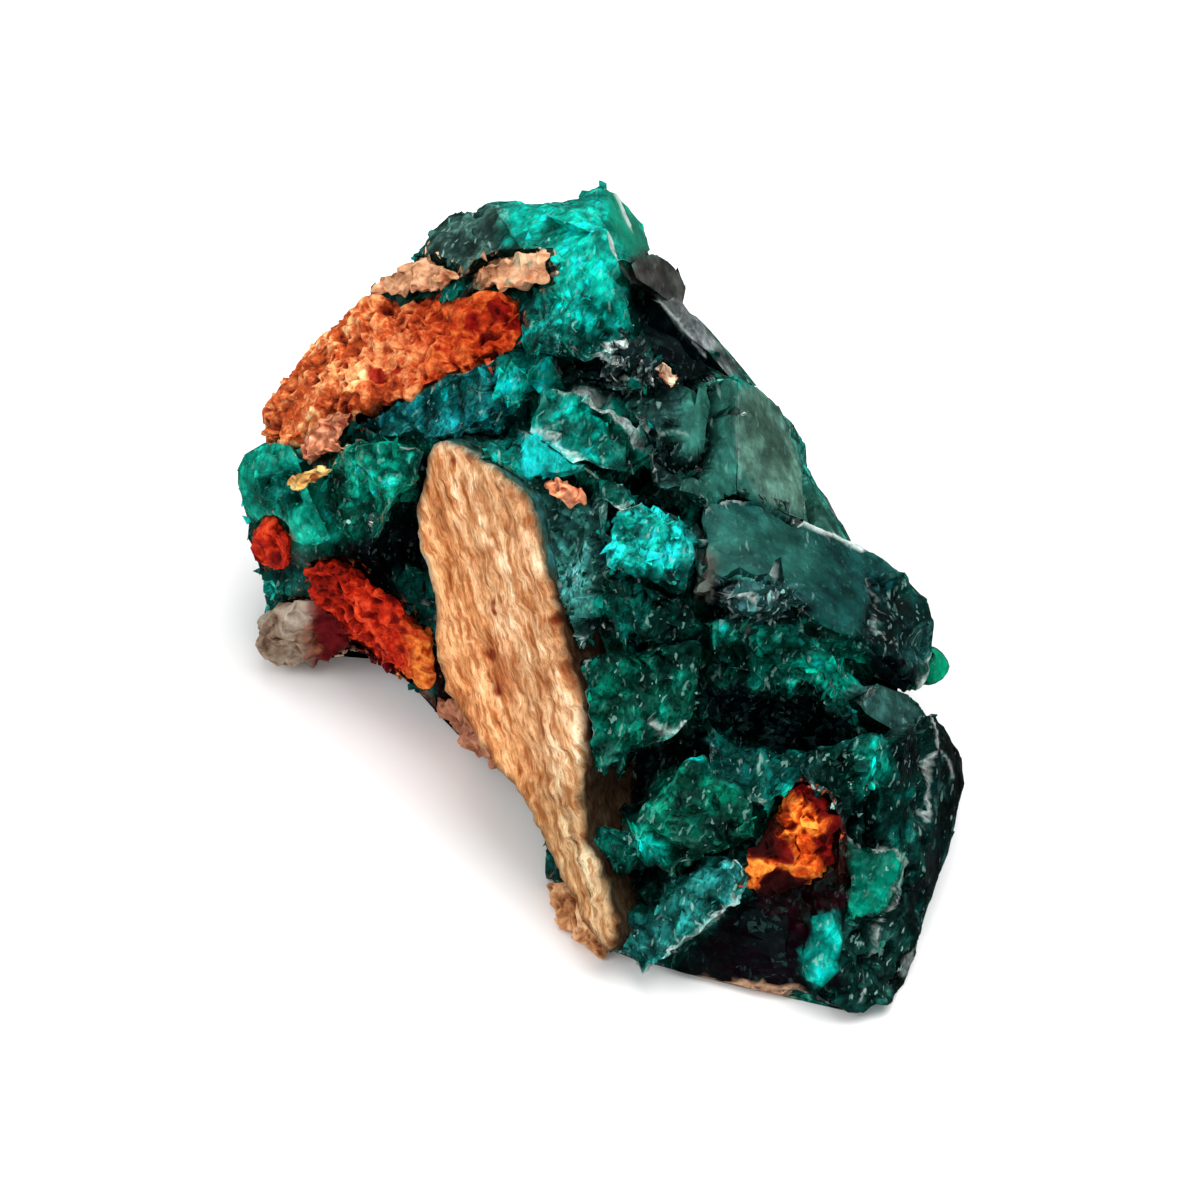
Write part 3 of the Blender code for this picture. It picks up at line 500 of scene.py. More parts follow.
PLACES = [
    # the general body: mid teal
    ([(150, 100), (1050, 100), (1050, 1100), (150, 1100)], 10, DEEP, 1.3, 0.28, 0.22, 0.9, 0.35, 1.2),
    # top: layered grey-green end, then the bright crest
    ([(425, 215), (520, 198), (520, 260), (470, 285), (425, 262)], 10, (0.035, 0.085, 0.07), 0.8, 0.22, 0.4, 0.7, 0.8, 1.2),
    ([(505, 205), (560, 198), (600, 184), (614, 194), (630, 226), (652, 256), (632, 264), (624, 290), (634, 330),
      (604, 352), (540, 334), (520, 300), (546, 284), (548, 256), (500, 244)], 8, BRIGHT, 1.2, 0.26, 0.2, 0.6, 0.4, 1.6),
    ([(520, 300), (560, 290), (600, 300), (628, 330), (604, 352), (560, 366), (500, 352), (516, 330)], 10,
     (0.0, 0.17, 0.135), 0.9, 0.26, 0.2, 1.0, 0.5, 2.0),
    ([(606, 186), (616, 186), (660, 250), (656, 262), (630, 262), (612, 232)], 4, (0.0, 0.33, 0.20), 1.6, 0.05, 0.22, 0.15, 0.1, 0.0),
    ([(360, 292), (460, 286), (500, 296), (470, 310), (440, 318), (360, 308)], 6, (0.0, 0.14, 0.11), 0.7, 0.14, 0.3, 0.8, 0.4, 1.0),
    # the blade and the black prism with its grey narrow facets; the grey of the narrow facets is painted sheen on the
    # black crystal
    ([(628, 258), (655, 250), (690, 280), (690, 308), (660, 304), (628, 282)], 4, (0.078, 0.073, 0.066), 2.4, 0.04, 0.32, 0.4, 0.1, 0.0),
    ([(626, 284), (655, 294), (692, 330), (722, 374), (700, 378), (690, 386), (664, 360), (632, 320)], 4, BLACK, 2.4, 0.05, 0.06, 0.3, 0.12, 0.0),
    ([(654, 290), (684, 304), (700, 322), (722, 350), (706, 352), (682, 330)], 3, (0.20, 0.22, 0.22), 2.4, 0.05, 0.35, 0.6, 0.3, 0.0),
    ([(716, 342), (735, 360), (760, 390), (738, 386), (716, 362)], 3, (0.15, 0.18, 0.17), 2.4, 0.05, 0.35, 0.5, 0.3, 0.0),
    ([(730, 372), (745, 374), (758, 389), (738, 386)], 2, (0.0, 0.22, 0.16), 2.4, 0.05, 0.3, 0.5, 0.3, 0.0),
    # the blue-black ridge below the ochre seam, with a bright end
    ([(350, 400), (400, 392), (440, 372), (500, 350), (524, 366), (530, 410), (500, 440), (440, 440), (380, 446), (350, 430)], 8,
     BLUE, 0.8, 0.26, 0.18, 1.0, 0.8, 2.4),
    ([(500, 362), (540, 356), (556, 376), (552, 404), (520, 412), (498, 400)], 6, (0.0, 0.46, 0.36), 0.8, 0.2, 0.2, 0.9, 0.5, 2.4),
    ([(432, 385), (470, 378), (478, 398), (440, 404)], 6, (0.0, 0.20, 0.18), 0.8, 0.2, 0.2, 0.9, 0.5, 1.0),
    # dark recess, painted black as shade, and glassy cluster
    ([(556, 372), (590, 352), (640, 330), (690, 380), (700, 396), (650, 402), (616, 400), (584, 388)], 6, BLACK, 1.1, 0.22, 0.07, 0.5, 0.35, 1.2),
    ([(600, 338), (640, 336), (660, 362), (650, 392), (612, 384)], 5, (0.035, 0.045, 0.045), 0.8, 0.18, 0.08, 1.0, 1.0, 3.0),
    # the dome and the cyan facet
    ([(532, 400), (556, 388), (592, 386), (618, 404), (644, 440), (654, 472), (600, 476), (560, 462), (526, 432)], 6,
     (0.0, 0.22, 0.165), 1.4, 0.2, 0.18, 0.8, 0.45, 0.6),
    ([(598, 410), (628, 420), (650, 462), (618, 462)], 10, (0.0, 0.12, 0.08), 1.4, 0.2, 0.16, 0.8, 0.3, 0.6),
    ([(522, 434), (536, 428), (568, 454), (588, 470), (556, 482), (514, 472)], 4, (0.01, 1.2, 1.08), 0.8, 0.12, 0.16, 0.5, 0.8, 0.6),
    ([(470, 440), (512, 434), (520, 470), (500, 474), (476, 460)], 6, (0.0, 0.20, 0.155), 0.8, 0.2, 0.2, 0.9, 0.6, 2.0),
    ([(580, 466), (620, 470), (650, 490), (640, 504), (600, 500), (570, 482)], 6, (0.0, 0.14, 0.105), 0.8, 0.2, 0.2, 0.9, 0.5, 2.0),
    # stepped plates and the big grey-green faces; the grey-green is painted sheen, soft light reflected broadly on dark
    # crystal
    ([(628, 400), (660, 392), (716, 378), (720, 430), (704, 458), (676, 470), (682, 490), (650, 486), (646, 452)], 6,
     SHEEN_LOW, 1.2, 0.16, 0.3, 0.8, 0.4, 0.5),
    ([(682, 388), (700, 380), (716, 378), (716, 392), (713, 420), (712, 440), (702, 452), (684, 453), (680, 437), (658, 436), (656, 428), (680, 424)], 3,
     (0.034, 0.205, 0.155), 2.0, 0.03, 0.30, 0.35, 0.3, 0.0),
    ([(650, 446), (670, 444), (674, 462), (660, 470), (650, 462)], 3, (0.05, 0.10, 0.085), 1.6, 0.04, 0.34, 0.5, 0.3, 0.0),
    ([(716, 380), (757, 388), (790, 418), (806, 444), (808, 500), (760, 500), (720, 498), (676, 494), (682, 474), (704, 470), (718, 440)], 4,
     (0.022, 0.135, 0.104), 2.6, 0.05, 0.30, 0.4, 0.3, 0.0),
    ([(742, 384), (768, 392), (806, 444), (808, 520), (760, 502), (738, 460)], 6, (0.092, 0.215, 0.162), 2.6, 0.05, 0.34, 0.4, 0.25, 0.0),
    ([(802, 466), (824, 498), (852, 546), (836, 546), (804, 522)], 4, (0.040, 0.165, 0.115), 2.2, 0.04, 0.3, 0.4, 0.3, 0.0),
    # black gap under the plate: painted shade
    ([(645, 462), (676, 462), (680, 482), (650, 486)], 5, BLACK, 1.1, 0.12, 0.1, 0.5, 0.3, 0.5),
    # granular band to the right of the slab
    ([(512, 476), (560, 500), (604, 508), (598, 560), (590, 640), (576, 700), (560, 660), (545, 590), (530, 520)], 7,
     (0.026, 0.150, 0.130), 0.7, 0.2, 0.35, 1.0, 0.7, 3.0),
    # turquoise mass
    ([(604, 512), (640, 498), (664, 502), (702, 536), (698, 556), (684, 590), (640, 580), (604, 572), (598, 545)], 6,
     (0.004, 0.40, 0.33), 0.9, 0.22, 0.2, 1.0, 0.7, 2.6),
    ([(676, 524), (704, 532), (700, 556), (680, 566)], 6, CYAN, 0.9, 0.15, 0.2, 0.8, 0.8, 1.5),
    ([(596, 580), (686, 596), (706, 622), (680, 642), (600, 644)], 8, (0.0, 0.075, 0.055), 0.8, 0.24, 0.2, 1.0, 0.5, 1.6),
    # the great crystal: dark green, its lighter upper left part painted sheen of reflected light
    ([(700, 504), (757, 499), (804, 522), (856, 546), (884, 560), (930, 602), (936, 640), (918, 694), (886, 664), (860, 640),
      (804, 616), (790, 596), (716, 594), (688, 596)], 5, (0.006, 0.062, 0.056), 2.4, 0.06, 0.16, 0.3, 0.3, 0.0),
    ([(716, 506), (800, 524), (820, 560), (790, 590), (720, 590), (706, 540)], 14, (0.018, 0.130, 0.104), 2.4, 0.05, 0.28, 0.3, 0.35, 0.0),
    ([(868, 572), (905, 580), (936, 610), (932, 660), (918, 694), (890, 664), (864, 636)], 8, (0.001, 0.015, 0.016), 1.2, 0.16, 0.12, 0.8, 0.5, 0.8),
    ([(714, 580), (800, 582), (812, 612), (790, 632), (730, 628), (708, 606)], 5, (0.010, 0.036, 0.036), 0.7, 0.16, 0.2, 1.0, 0.9, 1.6),
    ([(700, 548), (716, 556), (712, 600), (692, 604), (696, 570)], 4, (0.13, 0.125, 0.105), 2.0, 0.05, 0.35, 0.5, 0.3, 0.0),
    ([(710, 586), (730, 584), (736, 602), (716, 606)], 4, BLACK, 1.1, 0.1, 0.1, 0.4, 0.2, 0.0),
    # small clear crystal behind the right edge
    ([(936, 630), (960, 640), (960, 690), (925, 704), (918, 696), (934, 660)], 3, (0.0, 0.38, 0.19), 2.4, 0.04, 0.12, 0.3, 0.1, 0.0),
    # the middle
    ([(578, 650), (640, 640), (704, 648), (702, 700), (690, 728), (640, 740), (604, 776), (580, 776)], 8,
     (0.0, 0.058, 0.035), 0.8, 0.26, 0.2, 1.0, 0.6, 1.6),
    ([(700, 626), (760, 626), (830, 640), (868, 660), (870, 694), (820, 712), (760, 690), (712, 680)], 8,
     (0.0, 0.19, 0.130), 0.8, 0.26, 0.2, 1.0, 0.6, 1.6),
    ([(640, 650), (676, 646), (690, 670), (660, 690), (636, 676)], 8, (0.0, 0.12, 0.075), 0.8, 0.26, 0.2, 1.0, 0.6, 1.2),
    ([(700, 640), (744, 636), (760, 664), (720, 676)], 8, (0.0, 0.12, 0.080), 0.8, 0.26, 0.2, 1.0, 0.6, 1.2),
    ([(842, 688), (880, 682), (916, 700), (932, 724), (902, 736), (866, 716)], 4, (0.022, 0.085, 0.075), 2.0, 0.06, 0.35, 0.5, 0.3, 0.0),
    ([(866, 652), (915, 660), (914, 692), (872, 686)], 4, BLACK, 1.2, 0.1, 0.1, 0.4, 0.3, 0.4),
    # black gaps between the lumps: painted shade
    ([(704, 690), (740, 680), (776, 700), (846, 716), (876, 738), (850, 760), (790, 760), (742, 748), (708, 724)], 7,
     BLACK, 0.9, 0.25, 0.1, 0.6, 0.25, 1.0),
    ([(620, 760), (690, 730), (712, 744), (672, 772), (644, 806), (606, 826)], 7, BLACK, 0.9, 0.25, 0.1, 0.6, 0.3, 1.0),
    ([(574, 760), (604, 776), (604, 826), (580, 820)], 6, (0.004, 0.03, 0.03), 0.8, 0.24, 0.2, 0.9, 0.5, 1.6),
    # lower right block
    ([(800, 764), (850, 744), (905, 732), (930, 704), (966, 760), (962, 800), (940, 880), (905, 990), (870, 1016), (826, 1004),
      (846, 900), (842, 830), (812, 790)], 6, (0.0, 0.024, 0.019), 1.1, 0.2, 0.15, 0.9, 0.6, 0.9),
    ([(930, 704), (968, 740), (968, 800), (940, 880), (925, 920), (930, 830), (938, 760)], 5, (0.0, 0.009, 0.008), 1.4, 0.12, 0.14, 0.6, 0.5, 0.3),
    ([(846, 838), (872, 850), (896, 848), (906, 868), (885, 920), (866, 945), (850, 920)], 5, (0.0, 0.18, 0.115), 1.6, 0.12, 0.14, 0.5, 0.4, 0.3),
    ([(850, 925), (890, 910), (912, 950), (896, 1000), (850, 1012), (842, 980)], 6, (0.006, 0.060, 0.048), 0.7, 0.16, 0.3, 1.0, 1.0, 1.2),
    ([(840, 752), (885, 744), (900, 770), (880, 800), (845, 790)], 8, (0.0, 0.10, 0.070), 0.9, 0.22, 0.2, 1.0, 0.6, 1.6),
    ([(700, 728), (760, 742), (806, 764), (806, 790), (760, 800), (716, 790), (692, 770)], 8, (0.0, 0.050, 0.040), 0.8, 0.24, 0.2, 1.0, 0.6, 1.4),
    # brighter lump and the pale-edged plate at the bottom
    ([(660, 776), (706, 764), (744, 790), (750, 836), (704, 856), (672, 880), (650, 862), (640, 822)], 6,
     (0.0, 0.090, 0.052), 1.0, 0.26, 0.2, 0.9, 0.5, 1.2),
    ([(576, 820), (604, 826), (640, 838), (666, 852), (640, 868), (600, 876), (582, 850)], 5, (0.0, 0.17, 0.125), 0.8, 0.18, 0.2, 0.9, 0.7, 1.4),
    ([(606, 876), (640, 868), (660, 876), (636, 900), (612, 912)], 5, BLACK, 0.9, 0.16, 0.1, 0.6, 0.3, 0.6),
    ([(610, 950), (620, 920), (650, 900), (690, 870), (730, 852), (750, 870), (744, 900), (704, 932), (668, 958), (640, 966)], 4,
     (0.014, 0.21, 0.185), 0.9, 0.14, 0.22, 1.0, 0.9, 0.8),
    # near-black at the bottom, painted shade on the underside; dark red beside the pocket; turquoise chip
    ([(700, 940), (750, 896), (770, 880), (830, 880), (846, 900), (842, 990), (806, 992), (740, 990), (668, 974)], 5,
     (0.005, 0.0006, 0.003), 1.6, 0.12, 0.08, 0.3, 0.05, 0.0),
    ([(818, 796), (846, 820), (850, 880), (826, 890), (824, 840)], 5, (0.05, 0.003, 0.003), 1.0, 0.2, 0.2, 0.6, 0.1, 0.4),
    ([(808, 918), (834, 912), (843, 940), (840, 972), (822, 987), (804, 978), (802, 955), (811, 935)], 3,
     (0.0, 0.36, 0.29), 1.2, 0.08, 0.25, 0.6, 0.7, 0.3),
    ([(752, 882), (832, 884), (848, 898), (846, 908), (814, 910), (798, 930), (770, 912)], 6, (0.024, 0.002, 0.006), 1.3, 0.14, 0.14, 0.6, 0.1, 0.0),
    # left lobe
    ([(236, 470), (262, 440), (300, 444), (330, 500), (345, 540), (300, 556), (262, 530), (240, 500)], 6,
     (0.004, 0.48, 0.33), 1.3, 0.22, 0.18, 0.6, 0.4, 1.2),
    ([(270, 470), (296, 462), (300, 500), (280, 530), (262, 500)], 10, (0.0, 0.12, 0.09), 1.1, 0.22, 0.15, 0.8, 0.3, 1.0),
    ([(325, 446), (372, 440), (428, 450), (418, 490), (400, 520), (368, 552), (344, 548), (326, 500)], 7,
     (0.0, 0.18, 0.115), 0.9, 0.24, 0.2, 0.9, 0.5, 2.2),
    ([(384, 455), (424, 452), (418, 486), (390, 480)], 7, (0.0, 0.24, 0.16), 0.9, 0.24, 0.2, 0.9, 0.6, 1.4),
    # the hollows in the lobe: painted black as shade
    ([(412, 456), (438, 456), (434, 500), (418, 502)], 5, BLACK, 0.9, 0.2, 0.1, 0.6, 0.2, 0.8),
    ([(356, 552), (384, 522), (424, 510), (446, 560), (446, 650), (416, 640), (396, 600), (366, 572)], 6, BLACK, 0.8, 0.2, 0.1, 0.6, 0.3, 0.5),
    ([(330, 546), (372, 536), (400, 560), (404, 600), (372, 600), (340, 584)], 5, BLACK, 0.8, 0.2, 0.1, 0.6, 0.3, 0.5),
    ([(400, 574), (434, 574), (438, 636), (416, 636), (404, 600)], 4, (0.050, 0.062, 0.068), 0.7, 0.16, 0.15, 0.9, 0.8, 1.6),
    ([(256, 556), (318, 552), (316, 600), (262, 606)], 6, (0.02, 0.065, 0.055), 0.8, 0.22, 0.35, 0.9, 0.8, 2.0),
    # the dark red foot under the lower seam, and the dark foot left of the slab's end: red crystal darkened nearly to
    # black as painted shade where the underside curves down to the floor
    ([(290, 590), (330, 596), (404, 630), (446, 672), (486, 730), (490, 770), (440, 736), (396, 700), (350, 680), (292, 690)], 5,
     (0.010, 0.001, 0.002), 1.2, 0.16, 0.10, 0.6, 0.1, 0.3),
    ([(356, 634), (384, 644), (398, 664), (392, 676), (372, 664), (352, 650)], 4, (0.22, 0.002, 0.006), 1.2, 0.10, 0.10, 0.5, 0.1, 0.0),
    ([(400, 668), (420, 676), (430, 690), (414, 694)], 3, (0.03, 0.03, 0.032), 0.9, 0.12, 0.12, 0.8, 0.5, 0.0),
    ([(538, 850), (560, 846), (586, 872), (586, 892), (548, 892)], 4, (0.0, 0.05, 0.045), 0.8, 0.18, 0.2, 0.8, 0.4, 1.0),
]

# pale crisp edges and veins, their pale partly painted highlight on edges that catch the light; dark cracks, grooved
# and painted near-black as shade: points, half width in drawing units, strength
PALE_LINES = [
    ([(613, 189), (617, 198), (623, 212), (629, 226)], 1.2, 1.0),
    ([(608, 235), (614, 249), (618, 262), (624, 272), (631, 282)], 1.3, 0.9),
    ([(796, 519), (818, 530), (838, 538), (856, 548), (862, 551)], 1.4, 1.0),
    ([(934, 640), (926, 668), (918, 694)], 1.3, 0.7),
    ([(928, 708), (937, 732), (939, 748), (935, 772), (932, 822)], 0.7, 0.5),
    ([(939, 748), (949, 760), (955, 778)], 0.6, 0.35),
    ([(652, 722), (668, 731), (688, 726)], 2.2, 0.6),
    ([(598, 350), (603, 341), (611, 337), (618, 341)], 2.4, 0.9),
    ([(620, 362), (630, 355), (639, 360), (642, 374)], 2.0, 0.8),
    ([(602, 356), (612, 364), (624, 376), (630, 384)], 1.4, 0.7),
    ([(560, 392), (590, 390), (612, 402), (640, 440), (654, 470)], 1.1, 0.45),
    ([(524, 434), (536, 430), (568, 456), (584, 472)], 1.3, 0.6),
    ([(604, 512), (640, 498), (664, 503), (702, 538)], 1.2, 0.4),
    ([(656, 436), (672, 430), (690, 436)], 0.7, 0.25),
    ([(720, 600), (740, 590), (758, 600), (770, 590), (788, 604)], 1.0, 0.5),
    ([(870, 580), (884, 600), (880, 630), (900, 650)], 0.6, 0.3),
    ([(264, 560), (280, 575), (290, 600), (300, 612)], 1.3, 0.6),
    ([(268, 600), (274, 580), (262, 566)], 1.0, 0.5),
    ([(848, 838), (872, 849), (896, 848), (905, 866), (888, 912)], 0.9, 0.45),
    ([(858, 1000), (872, 960), (884, 925)], 0.9, 0.45),
    ([(586, 636), (584, 690), (590, 740)], 1.0, 0.4),
    ([(706, 508), (716, 502), (745, 500)], 1.0, 0.4),
    ([(640, 965), (668, 956), (702, 932), (744, 898)], 0.9, 0.45),
    ([(656, 296), (684, 330), (706, 356)], 1.0, 0.5),
    ([(738, 396), (737, 436), (740, 478)], 0.8, 0.16),
    ([(940, 880), (925, 925), (908, 975)], 0.8, 0.3),
]
DARK_LINES = [
    ([(716, 388), (718, 405), (716, 418), (718, 436), (708, 460), (697, 468), (674, 464), (668, 443)], 4.8, 1.0),
    ([(718, 415), (738, 414)], 2.0, 0.8),
    ([(640, 412), (652, 432), (656, 452), (646, 470)], 2.6, 0.8),
    ([(700, 508), (712, 501), (733, 497), (770, 510), (800, 523)], 1.3, 0.7),
    ([(650, 498), (662, 506), (678, 504)], 3.0, 0.9),
    ([(700, 524), (704, 545), (694, 580), (688, 600)], 2.4, 0.8),
    ([(466, 436), (492, 440), (514, 426), (536, 400)], 3.0, 0.8),
    ([(688, 380), (702, 378), (716, 376)], 2.4, 0.9),
    ([(700, 600), (740, 572), (790, 590), (808, 614)], 1.6, 0.5),
    ([(804, 470), (806, 500), (812, 524)], 1.8, 0.7),
    ([(860, 640), (890, 660), (916, 696)], 2.6, 0.7),
    ([(546, 574), (556, 610), (570, 650), (582, 686)], 3.0, 1.0),
]


def paint(P, N):
    """What the drawing says at each point: colour and the seven numbers."""
    u, w, n = to_drawing(P)
    wob = fbm(P, 0.9, 11, 3)
    wu = u + 5.0 * fbm(P, 1.3, 21, 2)
    ww = w + 5.0 * fbm(P, 1.3, 31, 2)
    val = np.zeros((len(P), 9))
    for poly, soft, colour, *rest in PLACES:
        sd = inside(wu, ww, poly)
        m = step(-soft, soft, sd + wob * soft * 0.7)[:, None]
        val = val * (1 - m) + m * np.array([*colour, *rest])
    # away from the face: crystals of every lightness
    facing = N @ OUT
    far = 1 - step(-0.36, -0.04, facing + 0.12 * wob)
    lobe = (inside(u, w, [(228, 426), (352, 426), (352, 562), (228, 562)]) > 0) & (n > -9.0)
    red = (val[:, 0] > 3 * val[:, 1]) & (val[:, 0] > 0.02) & (n > -12.0)
    hollow = lobe | red | (val[:, :3].sum(1) < 0.02) & (n > np.where((u < 500) & (w > 480) & (w < 780), -14.0, np.interp(w, (180, 400, 600, 1000), (-8.0, -5.0, -4.0, -2.0))))
    deep = step(4.0, 7.0, np.interp(w, (180, 400, 600, 1000), (1.0, 4.0, 6.0, 6.0)) - n)
    tip = (u > 916) & (w > 628) & (w < 704)
    far = np.where(tip | hollow, 0.0, np.maximum(far, deep * 0.9))[:, None]
    blend = step(-0.25, 0.35, fbm(P, 4.0, 61, 3))[:, None]
    back = np.array([0.0, 0.05, 0.042, 1.3, 0.26, 0.24, 0.9, 0.5, 1.3]) * (1 - blend)
    back = back + blend * np.array([0.0, 0.20, 0.15, 1.0, 0.24, 0.22, 0.9, 0.5, 1.8])
    val = val * (1 - far) + back * far
    pale = np.zeros(len(P))
    for pts, half, strength in PALE_LINES:
        pale = np.maximum(pale, strength * (1 - step(half * 0.8, half * 1.7, line(u, w, pts) + 0.5 * wob)))
    dark = np.zeros(len(P))
    for pts, half, strength in DARK_LINES:
        dark = np.maximum(dark, strength * (1 - step(half * 0.6, half * 1.8, line(wu, ww, pts) + 1.5 * wob)))
    return u, w, n, val, pale * (1 - deep), dark * (1 - deep)


# a map over the drawing of where the faces are flat and where a painted line runs, for the mesh sizes
MAP_STEP = 2.0
map_u, map_w = np.meshgrid(np.arange(180.0, 1020.0, MAP_STEP), np.arange(140.0, 1060.0, MAP_STEP), indexing="ij")
line_map = np.full(map_u.size, 1e9)
for pts, half, strength in PALE_LINES + DARK_LINES:
    line_map = np.minimum(line_map, line(map_u.ravel(), map_w.ravel(), pts) - half)
flat_map = np.zeros(map_u.size)
for poly, soft, colour, *rest in PLACES:
    if rest[1] <= 0.06:
        flat_map = np.maximum(flat_map, inside(map_u.ravel(), map_w.ravel(), poly) > 0)
line_map, flat_map = line_map.reshape(map_u.shape), flat_map.reshape(map_u.shape)


def fine_limit(fine, coarse):
    """Edge lengths in mm: fine on the face, coarse on the far sides and underneath."""
    def limit(M):
        u, w, n = to_drawing(M)
        i = np.clip(np.round((u - 180.0) / MAP_STEP).astype(int), 0, line_map.shape[0] - 1)
        j = np.clip(np.round((w - 140.0) / MAP_STEP).astype(int), 0, line_map.shape[1] - 1)
        depth = np.interp(w, (180, 400, 600, 1000), (-1.0, 2.0, 3.5, 4.5)) - n
        size = np.interp(depth, (3.5, 8.0), (fine, coarse))
        size = np.where(flat_map[i, j] > 0, np.maximum(size, fine * 1.5), size)
        size = np.where((line_map[i, j] < 3.0) & (depth < 16.0), fine * 0.62, size)
        return np.where(M[:, 2] < 0.12, coarse * 1.6, size)

    return limit


P, T = read_node("dioptase_crystals")
P, T = refine(P, T, fine_limit(0.155, 0.55), 192000)
rim_u = (286, 300, 330, 352, 372, 400, 423, 436, 446, 478, 500)
rim_w = (676, 664, 655, 646, 655, 672, 693, 712, 722, 756, 775)
u, w, n = to_drawing(P)
over = (w - np.interp(u, rim_u, rim_w)) * step(282, 300, u) * step(504, 484, u)
P[:, 1] += np.maximum(over, 0.0) * 0.97 * GRID / math.sin(LEAN)
N = normals(P, T)
Ns = blur(P, T, N, 2)
Ns /= np.linalg.norm(Ns, axis=1)[:, None] + 1e-9
u, w, n, V, pale, dark = paint(P, N)

# how near each point is to a relic, and what that relic stains it with
STAINS = {
    "upper_ochre_seam": (0.42, 0.050, 0.014), "lower_ochre_seam": (0.36, 0.012, 0.004), "left_ochre_spot": (0.30, 0.03, 0.012),
    "front_ochre_pocket": (0.13, 0.004, 0.003), "pale_nodule": (0.16, 0.02, 0.02), "under_slab_relic": (0.20, 0.06, 0.035),
    "buff_slab": (0.16, 0.085, 0.035), "pink_chip": (0.30, 0.15, 0.09), "upper_pale_patch_left": (0.30, 0.17, 0.09),
    "upper_pale_patch_right": (0.30, 0.17, 0.09), "foot_relic": (0.25, 0.13, 0.07),
}
tree_pts, tree_col = [], []
for key, colour in STAINS.items():
    rp, rt = read_node(key)
    rp, rt = refine(rp, rt, lambda M: np.full(len(M), 0.35), 9000)
    tree_pts.append(rp)
    tree_col.append(np.tile(colour, (len(rp), 1)))
tree_pts, tree_col = np.concatenate(tree_pts), np.concatenate(tree_col)
tree = KDTree(len(tree_pts))
for k, q in enumerate(tree_pts):
    tree.insert(q, k)
tree.balance()
hits = [tree.find(q) for q in P]
gap = np.array([h[2] for h in hits])
stain_of = tree_col[[h[1] for h in hits]]
tint, cell, relief, rough, flaw, spark = V[:, :3], V[:, 3], V[:, 4], V[:, 5], V[:, 6], V[:, 7]

loose = step(0.55, 0.85, flaw) * np.where((u > 585) & (w < 300), 0.25, 1.0) * step(0.25, 1.4, gap) * np.where((u > 640) & (n < 1.0), 0.35, 1.0)
drift = np.stack([fbm(P, 2.4, 301 + 9 * k, 3) + 0.35 * noise(P, 0.8, 331 + k) for k in range(3)], 1)
blocks, who0, side0 = facets(P + 0.5 * drift, 3.1, 13)
P = P + drift * (0.75 * loose * np.clip(P[:, 2] / 1.2, 0, 1))[:, None]
bead = BASE + RIGHT * (932 - MID) * GRID - UP * (667 - MID) * GRID + OUT * -1.4
off = P - bead
far_off = np.linalg.norm(off, axis=1)[:, None]
on_bead = (step(917, 922, u) * (w > 630) * (w < 703) * (n > -4.0))[:, None]
P = P + on_bead * 0.8 * (off / (far_off + 1e-6) * 0.92 - off)
big, who1, side1 = facets(P, 1.7, 3)
small, who2, side2 = facets(P, 0.8, 5)
tiny, who3, side3 = facets(P, 0.42, 9)
k_small = step(1.4, 0.7, cell)
height = relief * (1.5 * (1 - k_small) * big + (0.7 + 0.7 * k_small) * small + 0.35 * tiny * (relief > 0.1))
height += 0.35 * pale * 0.25 - 0.8 * dark + 0.7 * loose * (blocks - 0.2)
cave = step(0.20, 0.50, fbm(P, 1.7, 411, 3) + 0.25 * noise(P, 0.5, 415)) * loose * step(0.30, 0.10, tint[:, 1])
height -= 0.8 * cave
height += 0.02 * fbm(P, 0.5, 71, 2)
lift = np.clip(P[:, 2] / 0.6, 0, 1)
height -= relief * 0.15
P2 = P + Ns * (height * lift)[:, None]
P2[:, 2] = np.maximum(P2[:, 2], 0.0)
lo = np.array(CAD_BOX[0]) * 1000.0
hi = np.array(CAD_BOX[1]) * 1000.0
P2 = np.clip(P2, lo, hi)

# painted light: each facet gets a lightness of its own, standing in for the light it catches inside the crystal
share1 = UNI[(who1 * 7 + side1 * 131) % TAB, 2]
share2 = UNI[(who2 * 13 + side2 * 211) % TAB, 2]
share3 = UNI[(who3 * 17 + side3 * 97) % TAB, 2]
mixed = np.where(k_small > 0.5, 0.30 * share1 + 0.45 * share2 + 0.25 * share3, 0.55 * share1 + 0.30 * share2 + 0.15 * share3)
ang = math.radians(62)
Qs = np.stack([((u - MID) * math.cos(ang) - (w - MID) * math.sin(ang)) * GRID * 0.25,
               ((u - MID) * math.sin(ang) + (w - MID) * math.cos(ang)) * GRID, n], 1)
streak = fbm(Qs, 0.55, 83, 3)
patch = fbm(P, 1.5, 87, 3)
fl = np.clip(flaw, 0, 1)
gain = 0.85 * np.exp((mixed - 0.5) * 3.4 * fl + 2.3 * patch * fl + 1.4 * streak * fl)
# painted shade: darker in the crevices between the packed crystals
crevice_shade = np.clip(0.5 + 0.9 * (0.6 * small + 0.4 * tiny + 0.35), 0.25, 1.2)
tint = tint * (gain * crevice_shade)[:, None]
hue = (share2 - 0.5)[:, None] * flaw[:, None]
tint = tint * 1.2 * (1 + hue * np.array([0.0, -0.06, 0.10]))
# painted glints: pale flecks along the streaks
glint_fleck = step(0.42, 0.6, streak + 0.5 * (share3 - 0.5)) * np.clip(spark, 0, 1) * 0.5
tint = tint * (1 - glint_fleck[:, None]) + np.array([0.10, 0.42, 0.36]) * glint_fleck[:, None]
strip = inside(u, w, [(350, 300), (372, 286), (462, 290), (470, 306), (440, 322), (400, 320), (366, 310)])
soak = (step(0.5, 0.05, gap + 0.35 * fbm(P, 0.7, 93, 3)) * 0.9 * step(6, -6, strip))[:, None]
tint = tint * (1 - soak) + stain_of * np.exp(0.8 * streak + 0.5 * patch)[:, None] * soak
